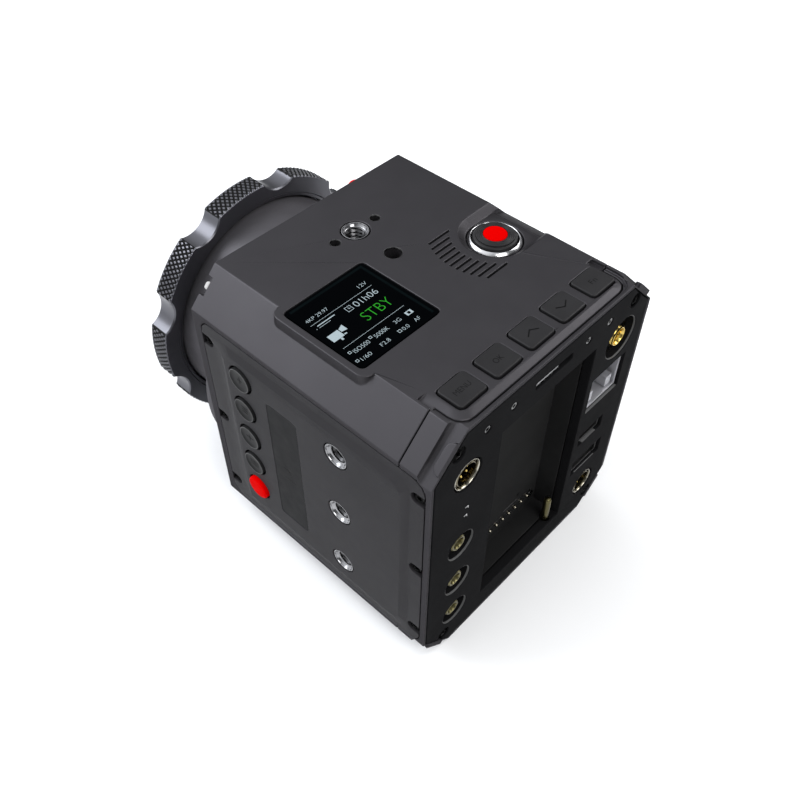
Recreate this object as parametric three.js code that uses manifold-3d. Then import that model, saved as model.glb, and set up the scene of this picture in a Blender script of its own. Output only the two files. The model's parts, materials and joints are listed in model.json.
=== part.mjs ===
// A compact box-shaped cinema camera body with a locking lens mount, built as separate bench parts.
// Millimetres, +Z up. The lens looks along -Y, the operator stands behind at +Y, and +X is the operator's left.
// Every part is drawn with the rear face at y = 0, the mid-plane at x = 0 and the resting face at z = 0.
// The last lines then move the whole camera so that the origin is the centre of its footprint.
import * as THREE from 'three';
import { mergeVertices } from 'three/addons/utils/BufferGeometryUtils.js';
import Module from 'manifold-3d';

const wasm = await Module();
wasm.setup();

// ---------------------------------------------------------------- driving dimensions
const WIDTH = 91.3;            // across the flat sides
const HEIGHT = 99;
const BODY_DEPTH = 86.6;       // front wall to rear face
const CHAMFER = 10;            // 45 degree chamfer on the four long edges
const WALL = 4;
const GAP = 0.3;               // clearance between separate pieces
const HALF = WIDTH / 2;
const FLAT = HALF - CHAMFER;   // half the width of the flat top
const FRONT = -BODY_DEPTH;

const LENS_Z = 49;             // height of the lens axis
const RING_REAR = -112;        // locking ring, rear face
const RING_FRONT = -119.4;     // locking ring, front face, also the foremost point
const RING_RADIUS = 43.3;
const RING_BORE = 36.1;
const RING_LIP_RADIUS = 33.6;
const SCALLOPS = 9;
const SCALLOP_RADIUS = 8;
const SCALLOP_CENTRE = 48.1;   // from the lens axis
const SCALLOP_START = 22;      // degrees
const BARREL_RADIUS = 35.6;
const BARREL_BASE_RADIUS = 45.3;
const BARREL_FRONT = -116.8;
const THROAT_RADIUS = 27;

const FRAME_DEPTH = 10;        // rear frame, at the chamfered corners
const SEAM = 1.6;              // rear frame, on the flat faces
const TONGUE_HALF = 33.5;      // raised key deck at the rear of the top
const GROOVE_DEPTH = 0.9;
const GROOVE_BEVEL = 1.7;
const GROOVE_WIDTH = 1.3;
const DECK_START = -14.5;

const COVER = { y0: -83.7, y1: -1.6, z0: 11.4, z1: 87.6, r: 4.5, thick: 2.4 };
const PANEL = { y0: -76.5, y1: -6.6, z0: 14.7, z1: 84.3, r: 4, rise: 0.8, bevel: 2.4 };
const PANEL_X = HALF + PANEL.rise;
const COVER_BACK = HALF - COVER.thick;
const LEDGE = 3;               // seat that each side cover rests on
const COVER_SCREWS_Z = [18.8, 49.7, 80.6];

const INSERT_RADIUS = 4;       // 1/4-20 steel thread inserts
const INSERT_BORE = 3;
const INSERT_LENGTH = 8;
const SIDE_INSERT_Y = -31.3;
const SIDE_INSERT_Z = [73.8, 49.3, 24.8];
const TOP_INSERT_Y = -69.3;
const LOCATING_OFFSET = 7.75;
const PLAIN_HOLE_Y = -54.9;

const DISPLAY = { x0: 8.3, x1: 36.9, y0: -58.6, y1: -30.1, r: 1.5 };
const DISPLAY_BOSS = { x0: 24, x1: 38.9, y0: -61.2, y1: -27.2, z0: 91, r: 3 };

const RECORD = { x: -25.5, y: -40.2, recess: 10.4, depth: 2, ring: 7.9, cap: 6.3, dot: 3.4 };
const SLOT = { count: 11, pitch: 2.05, width: 0.65, inner: 12.7, outer: 19 };

const KEY = { count: 5, pitch: 13.1, width: 9.7, depth: 8, r: 1.1, y: -8.8, x: -0.6, rise: 0.6, foot: 92 };
const SIDE_BUTTON = { y: -67.9, z: 75.4, pitch: 12, radius: 4.1, hole: 4.6, rise: 0.6, stem: 4.5 };
const RED_RISE = 1;            // the red side button stands prouder than the others
const FRONT_BUTTON = { x: -18, z: 94.4, radius: 3, rise: 2.4 };

const BAY = { x0: -20, x1: 19.5, z0: 10, z1: 85.5, floor: -10, wall: 1.8 };
const PANEL_THICK = 3;
const RIM = 1.1;               // rear frame's edge round the rear panel
const JACKS_Z = [50, 32, 15.6];
const LEFT_PORTS_X = 32;
const PORT_RADIUS = 5.2;
const AUDIO_Z = 80.5;
const POWER = { x: -32.4, z: 15.5 };
const ANTENNA = { x: -33, z: 80.5, recess: 7, barrel: 3.1 };
const ETHERNET = { x0: -38.8, x1: -22.5, z0: 57.2, z1: 71 };
const USB = { x0: -34.7, x1: -22.6, z0: 42, z1: 47.2 };
const HDMI = { x0: -37.7, x1: -22.6, z0: 27.4, z1: 33.9 };
const LATCH_PIN = { x: -15.9, y: -2.4, radius: 1.25, foot: 7, top: 20.5 };
const RELEASE = { x0: -2.2, x1: 7.2, slot: 7.6, z: 92.2, height: 1.8 };
const CONTACTS = { count: 7, pitch: 3.15, x: -15.3, z: 15.6, radius: 0.8 };

const DOOR = { y0: -41, y1: -17, z0: 36, z1: 84, thick: 2.2, knuckle: 1.1 };
const DOOR_AXIS = { x: -PANEL_X + 1.1, y: DOOR.y0 + 1.1 };
const CARD = { y: -30.4, z: 60, gap: 4.4, height: 43.6, depth: 34 };
const VENT = { count: 11, pitch: 5, width: 2.4, length: 25, y: -61 };

const FAN = { x: -36.4, y: -61, z: LENS_Z, size: 32, thick: 8, bore: 14.6, rotor: 13.8, hub: 5.5, blades: 7 };
const BASE = { half: 33.2, y0: -83.6, y1: -2, thick: 2.6, r: 4 };

// ---------------------------------------------------------------- solids
const solidOf = (geometry) => {
  const bare = new THREE.BufferGeometry();
  const flat = geometry.index ? geometry.toNonIndexed() : geometry;
  bare.setAttribute('position', flat.getAttribute('position'));
  const merged = mergeVertices(bare, 1e-4);
  const made = new wasm.Mesh({
    numProp: 3,
    vertProperties: merged.attributes.position.array,
    triVerts: new Uint32Array(merged.index.array),
  });
  return new wasm.Manifold(made);
};

const geometryOf = (solid) => {
  const mesh = solid.getMesh();
  const geometry = new THREE.BufferGeometry();
  geometry.setAttribute('position', new THREE.BufferAttribute(mesh.vertProperties, 3));
  geometry.setIndex(new THREE.BufferAttribute(mesh.triVerts, 1));
  const faceted = geometry.toNonIndexed();
  faceted.computeVertexNormals();
  return faceted;
};

const box = (x0, x1, y0, y1, z0, z1) => {
  const geometry = new THREE.BoxGeometry(x1 - x0, y1 - y0, z1 - z0);
  return solidOf(geometry.translate((x0 + x1) / 2, (y0 + y1) / 2, (z0 + z1) / 2));
};

// Cylinders and cones along each axis; r0 is the radius at the lower coordinate.
const cylinderX = (y, z, x0, x1, r0, sides = 20, r1 = r0) => {
  const geometry = new THREE.CylinderGeometry(r1, r0, x1 - x0, sides);
  return solidOf(geometry.rotateZ(-Math.PI / 2).translate((x0 + x1) / 2, y, z));
};
const cylinderY = (x, z, y0, y1, r0, sides = 20, r1 = r0) => {
  const geometry = new THREE.CylinderGeometry(r1, r0, y1 - y0, sides);
  return solidOf(geometry.translate(x, (y0 + y1) / 2, z));
};
const cylinderZ = (x, y, z0, z1, r0, sides = 20, r1 = r0) => {
  const geometry = new THREE.CylinderGeometry(r1, r0, z1 - z0, sides);
  return solidOf(geometry.rotateX(Math.PI / 2).translate(x, y, (z0 + z1) / 2));
};

// Prisms of a drawn outline: (y, z) along X, (x, z) along Y and (x, y) along Z.
const CYCLE = new THREE.Matrix4().makeBasis(
  new THREE.Vector3(0, 1, 0),
  new THREE.Vector3(0, 0, 1),
  new THREE.Vector3(1, 0, 0),
);
const extrude = (shape, depth, curveSegments = 2) =>
  new THREE.ExtrudeGeometry(shape, { depth, bevelEnabled: false, curveSegments });
const prismX = (shape, x0, x1) =>
  solidOf(extrude(shape, x1 - x0).applyMatrix4(CYCLE).translate(x0, 0, 0));
const prismY = (shape, y0, y1) =>
  solidOf(extrude(shape, y1 - y0).rotateX(Math.PI / 2).translate(0, y1, 0));
const prismZ = (shape, z0, z1) => solidOf(extrude(shape, z1 - z0).translate(0, 0, z0));

const polygon = (points) => new THREE.Shape(points.map(([u, v]) => new THREE.Vector2(u, v)));

const roundedRect = (u0, u1, v0, v1, r) => {
  const shape = new THREE.Shape();
  shape.moveTo(u0 + r, v0);
  shape.lineTo(u1 - r, v0);
  shape.absarc(u1 - r, v0 + r, r, -Math.PI / 2, 0);
  shape.absarc(u1 - r, v1 - r, r, 0, Math.PI / 2);
  shape.absarc(u0 + r, v1 - r, r, Math.PI / 2, Math.PI);
  shape.absarc(u0 + r, v0 + r, r, Math.PI, Math.PI * 1.5);
  return shape;
};

// The camera's cross-section: a rectangle with chamfered corners, drawn smaller by an inset.
const octagon = (inset, cornerInset = inset) => {
  const half = HALF - inset;
  const low = inset;
  const high = HEIGHT - inset;
  const cut = CHAMFER - inset * 2 + cornerInset * Math.SQRT2;
  return polygon([
    [half - cut, low], [half, low + cut], [half, high - cut], [half - cut, high],
    [-half + cut, high], [-half, high - cut], [-half, low + cut], [-half + cut, low],
  ]);
};

// A pie-slice of a ring about a centre, from one angle to another.
const sector = (cu, cv, inner, outer, start, end) => {
  const shape = new THREE.Shape();
  shape.absarc(cu, cv, outer, start, end);
  shape.absarc(cu, cv, inner, end, start, true);
  return shape;
};

// A plate with a bevelled rim: the drawn outline at the bottom, narrower by the bevel at the top.
const bevelledPlate = (u0, u1, v0, v1, r, height, bevel) => {
  const geometry = extrude(roundedRect(u0, u1, v0, v1, r), height);
  const position = geometry.getAttribute('position');
  const shrink = (value, low, high) => {
    const middle = (low + high) / 2;
    return middle + (value - middle) * (1 - (2 * bevel) / (high - low));
  };
  for (let i = 0; i < position.count; i += 1) {
    if (position.getZ(i) > height / 2) {
      position.setXY(i, shrink(position.getX(i), u0, u1), shrink(position.getY(i), v0, v1));
    }
  }
  return geometry;
};

// A solid turned about a line parallel to Y through (0, LENS_Z): points are [radius, y].
const turned = (points, sides = 56) => {
  const profile = points.map(([radius, y]) => new THREE.Vector2(radius, y));
  return solidOf(new THREE.LatheGeometry(profile, sides).translate(0, 0, LENS_Z));
};

const union = (first, ...rest) => rest.reduce((sum, solid) => sum.add(solid), first);
const cut = (solid, ...tools) => tools.reduce((left, tool) => left.subtract(tool), solid);
const range = (count) => Array.from({ length: count }, (unused, index) => index);

const mirrorX = (solid) => {
  const geometry = geometryOf(solid).scale(-1, 1, 1);
  const position = geometry.getAttribute('position');
  for (let i = 0; i < position.count; i += 3) {
    const [x, y, z] = [position.getX(i + 1), position.getY(i + 1), position.getZ(i + 1)];
    position.setXYZ(i + 1, position.getX(i + 2), position.getY(i + 2), position.getZ(i + 2));
    position.setXYZ(i + 2, x, y, z);
  }
  return solidOf(geometry);
};

// ---------------------------------------------------------------- materials
const FINISH = {
  shell: [0x3a3a3c, 0.55, 0.6],
  cover: [0x37373a, 0.55, 0.6],
  blackPlastic: [0x161617, 0.5, 0],
  rubber: [0x2b2b2d, 0.7, 0],
  steel: [0xc9cbd0, 0.25, 1],
  chrome: [0xe6e8ec, 0.12, 1],
  brass: [0xc8a64a, 0.3, 1],
  red: [0xe60000, 0.4, 0],
  glass: [0x050607, 0.08, 0],
  clear: [0x2a3440, 0.05, 0],
  board: [0x14402a, 0.6, 0],
  aluminium: [0xaeb1b5, 0.4, 1],
  white: [0xf2f2f2, 0.5, 0],
};

const camera = new THREE.Group();
const place = (name, finish, solid) => {
  const [color, roughness, metalness] = FINISH[finish];
  const material = new THREE.MeshStandardMaterial({ color, roughness, metalness });
  const mesh = new THREE.Mesh(geometryOf(solid), material);
  mesh.name = name;
  camera.add(mesh);
};

// ---------------------------------------------------------------- main shell
const keyCentre = (index) => KEY.x + KEY.pitch * ((KEY.count - 1) / 2 - index);
const keyPocket = (index) => {
  const [x, grow] = [keyCentre(index), GAP];
  const outline = roundedRect(
    x - KEY.width / 2 - grow, x + KEY.width / 2 + grow,
    KEY.y - KEY.depth / 2 - grow, KEY.y + KEY.depth / 2 + grow, KEY.r + grow,
  );
  return prismZ(outline, HEIGHT - WALL - 1, HEIGHT + 1);
};

// The key deck carries on to the rear of the camera, inside a V-shaped groove.
const deckSides = (grow) =>
  [-TONGUE_HALF - grow, TONGUE_HALF + grow, DECK_START - 20, -SEAM - GAP + grow, 4.3 + grow];
const deckOutline = (grow) => roundedRect(...deckSides(grow));
const deckGroove = () => {
  const level = HEIGHT - GROOVE_DEPTH;
  const plate = bevelledPlate(...deckSides(0), GROOVE_DEPTH, GROOVE_BEVEL);
  const deck = solidOf(plate.translate(0, 0, level));
  const around = prismZ(deckOutline(GROOVE_WIDTH), level, HEIGHT + 1);
  const reach = box(-HALF, HALF, DECK_START, 5, level - 1, HEIGHT + 2);
  return around.subtract(deck).intersect(reach);
};

const recordRecess = () => {
  const [floor, top] = [HEIGHT - RECORD.depth, HEIGHT];
  const [low, high] = [RECORD.recess - RECORD.depth, RECORD.recess];
  const dish = union(
    cylinderZ(RECORD.x, RECORD.y, floor, top, low, 36, high),
    cylinderZ(RECORD.x, RECORD.y, top - 0.001, top + 1, high, 36),
  );
  const channel = prismX(polygon([
    [RECORD.y - low, floor], [RECORD.y + low, floor], [RECORD.y + high, top],
    [RECORD.y + high, top + 1], [RECORD.y - high, top + 1], [RECORD.y - high, top],
  ]), -HALF, RECORD.x);
  const spill = prismY(polygon([
    [RECORD.x, floor + 1], [RECORD.x, floor], [-34.65, floor], [-40.7, floor - 3],
    [-HALF - 2, floor - 3], [-HALF - 2, floor + 1],
  ]), RECORD.y - low, RECORD.y + low);
  return union(dish, channel, spill);
};

const soundSlots = () => {
  const middle = (SLOT.count - 1) / 2;
  return union(...range(SLOT.count).map((index) => {
    const offset = (index - middle) * SLOT.pitch;
    const start = RECORD.x + Math.sqrt(SLOT.inner ** 2 - offset ** 2);
    const end = RECORD.x + Math.sqrt(SLOT.outer ** 2 - offset ** 2);
    const y = RECORD.y + offset;
    return box(start, end, y - SLOT.width / 2, y + SLOT.width / 2, HEIGHT - WALL - 1, HEIGHT + 1);
  }));
};

const sideWindow = () => union(
  prismX(roundedRect(COVER.y0, 20, COVER.z0, COVER.z1, COVER.r), COVER_BACK - GAP, HALF + 1),
  prismX(
    roundedRect(COVER.y0 + LEDGE, -14, COVER.z0 + LEDGE, COVER.z1 - LEDGE, 3),
    HALF - WALL - 1, HALF + 1,
  ),
);

const frontWallCuts = () => union(
  turned([[0, FRONT - 1], [29, FRONT - 1], [29, FRONT + WALL + 1], [0, FRONT + WALL + 1]], 48),
  cylinderY(FRONT_BUTTON.x, FRONT_BUTTON.z, FRONT - 1, FRONT + 3.4, FRONT_BUTTON.radius + GAP, 20),
  lampNotch(),
);

const CHAMFER_TURN = new THREE.Matrix4()
  .makeTranslation(FLAT, 0, HEIGHT)
  .multiply(new THREE.Matrix4().makeRotationY(Math.PI / 4));
const onChamfer = (t0, t1, y0, y1, h0, h1) => {
  const geometry = new THREE.BoxGeometry(t1 - t0, y1 - y0, h1 - h0);
  geometry.translate((t0 + t1) / 2, (y0 + y1) / 2, (h0 + h1) / 2);
  return solidOf(geometry.applyMatrix4(CHAMFER_TURN));
};
// A small square notch in the front left chamfer, with the tally lamp in it.
const lampNotch = () => onChamfer(3.8, 9.2, FRONT - 1, FRONT + 1.8, -2, 1);
const lamp = () => onChamfer(5.2, 7.4, FRONT + 0.2, FRONT + 1.5, -1.7, -0.3);

const displayPocket = () => union(
  prismZ(roundedRect(DISPLAY.x0, DISPLAY.x1, DISPLAY.y0, DISPLAY.y1, DISPLAY.r), HEIGHT - 1.8, HEIGHT + 1),
  box(DISPLAY.x0 + 1, DISPLAY.x1 - 1, DISPLAY.y0 + 1, DISPLAY.y1 - 1, 88, HEIGHT),
);

const mainShell = () => {
  const tube = cut(
    prismY(octagon(0), FRONT, -FRAME_DEPTH - GAP),
    prismY(octagon(WALL), FRONT + WALL, 1),
  );
  const deck = prismZ(deckOutline(0), HEIGHT - WALL, HEIGHT);
  const boss = DISPLAY_BOSS;
  const displayBoss = prismZ(roundedRect(boss.x0, boss.x1, boss.y0, boss.y1, boss.r), boss.z0, HEIGHT);
  return cut(
    union(tube, deck.intersect(box(-HALF, HALF, -FRAME_DEPTH - 2, 5, 0, HEIGHT + 1)), displayBoss),
    deckGroove(), recordRecess(), soundSlots(), displayPocket(), frontWallCuts(),
    sideWindow(), mirrorX(sideWindow()),
    cylinderZ(RECORD.x, RECORD.y, 90, HEIGHT, RECORD.ring + GAP, 32),
    cylinderZ(0, TOP_INSERT_Y, 88, HEIGHT + 1, INSERT_RADIUS + GAP, 20),
    cylinderZ(LOCATING_OFFSET, TOP_INSERT_Y, 90, HEIGHT + 1, 1.5, 16),
    cylinderZ(-LOCATING_OFFSET, TOP_INSERT_Y, 90, HEIGHT + 1, 1.5, 16),
    cylinderZ(0, PLAIN_HOLE_Y, 90, HEIGHT + 1, 2.5, 20),
    ...range(KEY.count).map(keyPocket),
    baseWindow(),
  );
};

const baseWindow = () => union(
  prismZ(
    roundedRect(-BASE.half - GAP, BASE.half + GAP, BASE.y0 - GAP, 20, BASE.r + GAP), -1, BASE.thick + GAP,
  ),
  prismZ(roundedRect(-BASE.half + LEDGE, BASE.half - LEDGE, BASE.y0 + LEDGE, 20, 3), -1, WALL + 1),
);

// ---------------------------------------------------------------- rear frame
// Each chamfered corner is scooped out round a rounded boss that holds a corner screw.
const scoop = () => {
  const reach = CHAMFER * Math.SQRT2;
  const cove = new THREE.CylinderGeometry(1.5, 1.5, reach + 6, 20);
  cove.rotateZ(Math.PI / 2).translate(reach / 2, -3, 0);
  const trench = union(
    solidOf(cove.applyMatrix4(CHAMFER_TURN)),
    onChamfer(-3, reach + 3, -3, 1, -1.5, 3),
  );
  const boss = extrude(roundedRect(2.6, reach - 2.6, -2.3, 3, 2.2), 2);
  return trench.subtract(solidOf(boss.translate(0, 0, -2).applyMatrix4(CHAMFER_TURN)));
};
const flipZ = (solid) => {
  const turnedOver = geometryOf(solid).rotateY(Math.PI).translate(0, 0, HEIGHT);
  return solidOf(turnedOver);
};

// Clearance at the rear for the key deck, the side covers and the base plate, which all end at the seam.
const rearRooms = () => {
  const cover = prismX(roundedRect(COVER.y0, COVER.y1, COVER.z0, COVER.z1, COVER.r), COVER_BACK - GAP, 60);
  const behind = box(-HALF, HALF, -FRAME_DEPTH - 1, -SEAM, 0, HEIGHT + 1);
  const deck = prismZ(deckOutline(GAP), HEIGHT - WALL - 1, HEIGHT + 1);
  const groove = prismZ(deckOutline(GROOVE_WIDTH), HEIGHT - GROOVE_DEPTH, HEIGHT + 1);
  const base = prismZ(
    roundedRect(-BASE.half - GAP, BASE.half + GAP, -30, -SEAM, BASE.r + GAP), -1, BASE.thick + GAP,
  );
  return union(cover, mirrorX(cover), deck.intersect(behind), groove, base);
};

const rearFrame = () => {
  const left = scoop();
  const right = mirrorX(left);
  return cut(
    prismY(octagon(0), -FRAME_DEPTH, 0),
    prismY(octagon(WALL + 0.6), -FRAME_DEPTH - 1, 1),
    prismY(octagon(RIM, RIM + 0.8), -PANEL_THICK - GAP, 1),
    rearRooms(), left, right, flipZ(left), flipZ(right),
  );
};

// ---------------------------------------------------------------- side covers
const raisedPanel = () => {
  const { y0, y1, z0, z1, r, rise, bevel } = PANEL;
  return solidOf(bevelledPlate(y0, y1, z0, z1, r, rise, bevel).applyMatrix4(CYCLE).translate(HALF, 0, 0));
};

// Screw seats are open towards the edge of the cover.
const screwSeats = () => union(...COVER_SCREWS_Z.flatMap((z) => [
  prismX(roundedRect(COVER.y1 - 4.6, COVER.y1 + 3, z - 1.85, z + 1.85, 1.8), HALF - 1.5, HALF + 1),
  prismX(roundedRect(COVER.y0 - 3, COVER.y0 + 4.6, z - 1.85, z + 1.85, 1.8), HALF - 1.5, HALF + 1),
]));

const coverBlank = () => {
  const outline = roundedRect(
    COVER.y0 + GAP, COVER.y1 - GAP, COVER.z0 + GAP, COVER.z1 - GAP, COVER.r - GAP,
  );
  const plate = prismX(outline, COVER_BACK, HALF);
  return union(plate, raisedPanel()).subtract(screwSeats());
};

const sideButtonZ = (index) => SIDE_BUTTON.z - SIDE_BUTTON.pitch * index;
const LABEL = { y0: -57.8, y1: -46.1, z0: 24.5, z1: 73.8, r: 1.2, deep: 0.8 };

const leftCover = () => cut(
  coverBlank(),
  ...range(5).map((index) => cylinderX(SIDE_BUTTON.y, sideButtonZ(index), 40, 50, SIDE_BUTTON.hole, 24)),
  ...SIDE_INSERT_Z.map((z) => cylinderX(SIDE_INSERT_Y, z, 40, 50, INSERT_RADIUS + GAP, 20)),
  prismX(roundedRect(LABEL.y0, LABEL.y1, LABEL.z0, LABEL.z1, LABEL.r), PANEL_X - LABEL.deep, 50),
);

// The right cover is drawn on the left and mirrored: cooling slots, and the card door's recess.
const ventSlots = () => union(...range(VENT.count).map((index) => {
  const z = LENS_Z + VENT.pitch * (index - (VENT.count - 1) / 2);
  const outline = roundedRect(
    VENT.y - VENT.length / 2, VENT.y + VENT.length / 2, z - VENT.width / 2, z + VENT.width / 2, 1.1,
  );
  return prismX(outline, 40, 50);
}));

const rightCover = () => {
  const axisX = -DOOR_AXIS.x;
  const recess = union(
    box(PANEL_X - DOOR.thick - GAP, 50, DOOR.y0 - GAP, DOOR.y1 + GAP, DOOR.z0 - GAP, DOOR.z1 - 0.6),
    box(PANEL_X - 1.2, 50, DOOR.y1, DOOR.y1 + 3.5, 56, 64),
  );
  const aperture = box(
    40, 50, CARD.y - CARD.gap / 2 - 0.6, CARD.y + CARD.gap / 2 + 0.6,
    CARD.z - CARD.height / 2 - 0.6, CARD.z + CARD.height / 2 + 0.6,
  );
  const pinHole = cylinderZ(axisX, DOOR_AXIS.y, DOOR.z0 - 2.5, DOOR.z1 + 1.2, 0.7, 12);
  return mirrorX(cut(coverBlank(), ventSlots(), recess, aperture, pinHole));
};

// ---------------------------------------------------------------- card door
const cardDoor = () => {
  const { x: axisX, y: axisY } = DOOR_AXIS;
  const top = DOOR.z1 - 0.9;
  const leaf = box(-PANEL_X, -PANEL_X + DOOR.thick, axisY, DOOR.y1, DOOR.z0, top);
  const knuckle = cylinderZ(axisX, axisY, DOOR.z0, top, DOOR.knuckle, 16);
  const lip = box(-PANEL_X + 0.2, -PANEL_X + 0.9, DOOR.y1 - 1, DOOR.y1 + 1.2, 57, 63);
  const rib = box(-PANEL_X - 1, -PANEL_X + 0.5, DOOR.y1 - 3.4, DOOR.y1 - 2, 54, 66);
  const bore = cylinderZ(axisX, axisY, DOOR.z0 - 1, top + 1, 0.68, 12);
  return union(leaf, knuckle, lip, rib).subtract(bore);
};
const doorPin = () =>
  cylinderZ(DOOR_AXIS.x, DOOR_AXIS.y, DOOR.z0 - 2.2, DOOR.z1 + 0.8, 0.5, 12);

// ---------------------------------------------------------------- base plate
const basePlate = () => cut(
  prismZ(roundedRect(-BASE.half, BASE.half, BASE.y0, BASE.y1, BASE.r), 0, BASE.thick),
  cylinderZ(0, -60, -1, 5, INSERT_RADIUS + GAP, 20),
  cylinderZ(0, -38, -1, 5, 6 + GAP, 28),
  cylinderZ(0, -69, -1, 5, 2.2, 16),
  cylinderZ(16, -38, -1, 5, 2.2, 16),
  cylinderZ(-16, -38, -1, 5, 2.2, 16),
);

const insertZ = (y, z0, z1, radius, bore, sides = 20) =>
  cylinderZ(0, y, z0, z1, radius, sides).subtract(cylinderZ(0, y, z0 - 1, z1 + 1, bore, sides));
const insertX = (z) => cut(
  cylinderX(SIDE_INSERT_Y, z, PANEL_X - INSERT_LENGTH, PANEL_X - 0.1, INSERT_RADIUS, 20),
  cylinderX(SIDE_INSERT_Y, z, 20, 50, INSERT_BORE, 16),
);

// ---------------------------------------------------------------- lens mount
const mountBarrel = () => {
  const foot = FRONT - GAP;
  const flare = range(6).map((step) => {
    const angle = (Math.PI / 2) * (step / 5);
    return [BARREL_RADIUS + 8.6 * (1 - Math.sin(angle)), foot - 2.8 - 17 * (1 - Math.cos(angle))];
  });
  return turned([
    [THROAT_RADIUS, foot], [THROAT_RADIUS, BARREL_FRONT], [BARREL_RADIUS, BARREL_FRONT],
    ...flare.reverse(),
    [BARREL_BASE_RADIUS, foot - 2.8], [BARREL_BASE_RADIUS, foot], [THROAT_RADIUS, foot],
  ]);
};

// The steel bayonet flange has three entry gaps in its throat.
const mountFlange = () => {
  const ring = turned([
    [THROAT_RADIUS, -119], [33, -119], [33, BARREL_FRONT - GAP], [THROAT_RADIUS, BARREL_FRONT - GAP],
    [THROAT_RADIUS, -119],
  ]);
  const gaps = range(3).map((index) => {
    const start = (index * Math.PI * 2) / 3;
    return prismY(sector(0, LENS_Z, 20, 29.4, start, start + Math.PI / 3), -120, -110);
  });
  return cut(ring, ...gaps);
};

const lockingRing = () => {
  const ring = turned([
    [RING_LIP_RADIUS, RING_FRONT], [RING_RADIUS, RING_FRONT], [RING_RADIUS, RING_REAR],
    [RING_BORE, RING_REAR], [RING_BORE, BARREL_FRONT - 0.4], [RING_LIP_RADIUS, BARREL_FRONT - 0.4],
    [RING_LIP_RADIUS, RING_FRONT],
  ], 72);
  const scallops = range(SCALLOPS).map((index) => {
    const angle = THREE.MathUtils.degToRad(SCALLOP_START + (index * 360) / SCALLOPS);
    const x = SCALLOP_CENTRE * Math.cos(angle);
    const z = LENS_Z + SCALLOP_CENTRE * Math.sin(angle);
    return cylinderY(x, z, RING_FRONT - 1, RING_REAR + 1, SCALLOP_RADIUS, 28);
  });
  return cut(ring, ...scallops);
};

const lensContacts = () => union(
  box(-8.5, 8.5, -116, -109, LENS_Z - 25.2, LENS_Z - 23.2),
  ...range(8).map((index) =>
    box(-7.6 + index * 2, -6.6 + index * 2, -116.6, -110, LENS_Z - 24, LENS_Z - 22.8)),
);

// ---------------------------------------------------------------- sensor and inner parts
const sensorBlock = () => cut(
  box(-24, 24, -80, -70, LENS_Z - 20, LENS_Z + 20),
  box(-18.5, 18.5, -81, -78, LENS_Z - 14, LENS_Z + 14),
);
const sensorWindow = () => box(-18, 18, -79.6, -78.3, LENS_Z - 13.5, LENS_Z + 13.5);
const sensorBoard = () => box(-30, 30, -69.4, -67.8, LENS_Z - 27, LENS_Z + 27);
const heatsink = () => union(
  box(-28, 22, -67, -64.5, LENS_Z - 18, LENS_Z + 18),
  ...range(9).map((index) => {
    const z = LENS_Z - 16.4 + index * 4;
    return box(-28, 22, -65, -50, z, z + 1.2);
  }),
);
const mainBoard = () => box(-32, 38, -46, -44.4, 8, 88);
const keyBoard = () => box(-34, 34, -13.4, -5, 89.5, 91);

const fanHousing = () => {
  const half = FAN.size / 2;
  const [x0, x1] = [FAN.x - FAN.thick / 2, FAN.x + FAN.thick / 2];
  return cut(
    prismX(roundedRect(FAN.y - half, FAN.y + half, FAN.z - half, FAN.z + half, 2.5), x0, x1),
    cylinderX(FAN.y, FAN.z, x0 - 1, x1 - 1.4, FAN.bore, 28),
    ...range(4).map((index) => {
      const start = (index * Math.PI) / 2 + 0.14;
      const outline = sector(FAN.y, FAN.z, FAN.hub + 0.6, FAN.bore - 0.4, start, start + Math.PI / 2 - 0.28);
      return prismX(outline, x1 - 3, x1 + 1);
    }),
  );
};

const fanRotor = () => {
  const [x0, x1] = [FAN.x - FAN.thick / 2 + 0.6, FAN.x + FAN.thick / 2 - 2];
  const blades = range(FAN.blades).map((index) => {
    const blade = new THREE.BoxGeometry(x1 - x0 - 1.6, FAN.rotor - FAN.hub + 0.8, 1);
    blade.rotateY(0.6).translate(0, (FAN.rotor + FAN.hub - 0.8) / 2, 0);
    blade.rotateX((index * 2 * Math.PI) / FAN.blades).translate((x0 + x1) / 2, FAN.y, FAN.z);
    return solidOf(blade);
  });
  return union(cylinderX(FAN.y, FAN.z, x0, x1, FAN.hub, 20), ...blades);
};

const cardSlot = () => {
  const half = CARD.gap / 2 + 1.6;
  const tall = CARD.height / 2 + 1.6;
  const back = COVER_BACK - GAP;
  return cut(
    box(-back + 0.4, -back + 0.4 + CARD.depth + 2, CARD.y - half, CARD.y + half, CARD.z - tall, CARD.z + tall),
    box(
      -back - 1, -back + CARD.depth, CARD.y - CARD.gap / 2, CARD.y + CARD.gap / 2,
      CARD.z - CARD.height / 2, CARD.z + CARD.height / 2,
    ),
  );
};

// ---------------------------------------------------------------- top parts
const displayGlass = () => prismZ(
  roundedRect(DISPLAY.x0 + GAP, DISPLAY.x1 - GAP, DISPLAY.y0 + GAP, DISPLAY.y1 - GAP, DISPLAY.r - GAP),
  HEIGHT - 1.5, HEIGHT - 0.1,
);
const displayModule = () =>
  box(DISPLAY.x0 + 1.4, DISPLAY.x1 - 1.4, DISPLAY.y0 + 1.4, DISPLAY.y1 - 1.4, 92.4, HEIGHT - 1.9);

const recordRing = () => cut(
  cylinderZ(RECORD.x, RECORD.y, 91, HEIGHT - 1.2, RECORD.ring, 36),
  cylinderZ(RECORD.x, RECORD.y, 90, HEIGHT, RECORD.cap + GAP, 36),
);
const recordButton = () => cut(
  cylinderZ(RECORD.x, RECORD.y, 92.5, HEIGHT + 0.1, RECORD.cap, 36),
  cylinderZ(RECORD.x, RECORD.y, HEIGHT - 0.6, HEIGHT + 1, RECORD.dot + 0.2, 24),
);
const recordDot = () => cylinderZ(RECORD.x, RECORD.y, HEIGHT - 0.4, HEIGHT + 0.2, RECORD.dot, 24);

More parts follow.
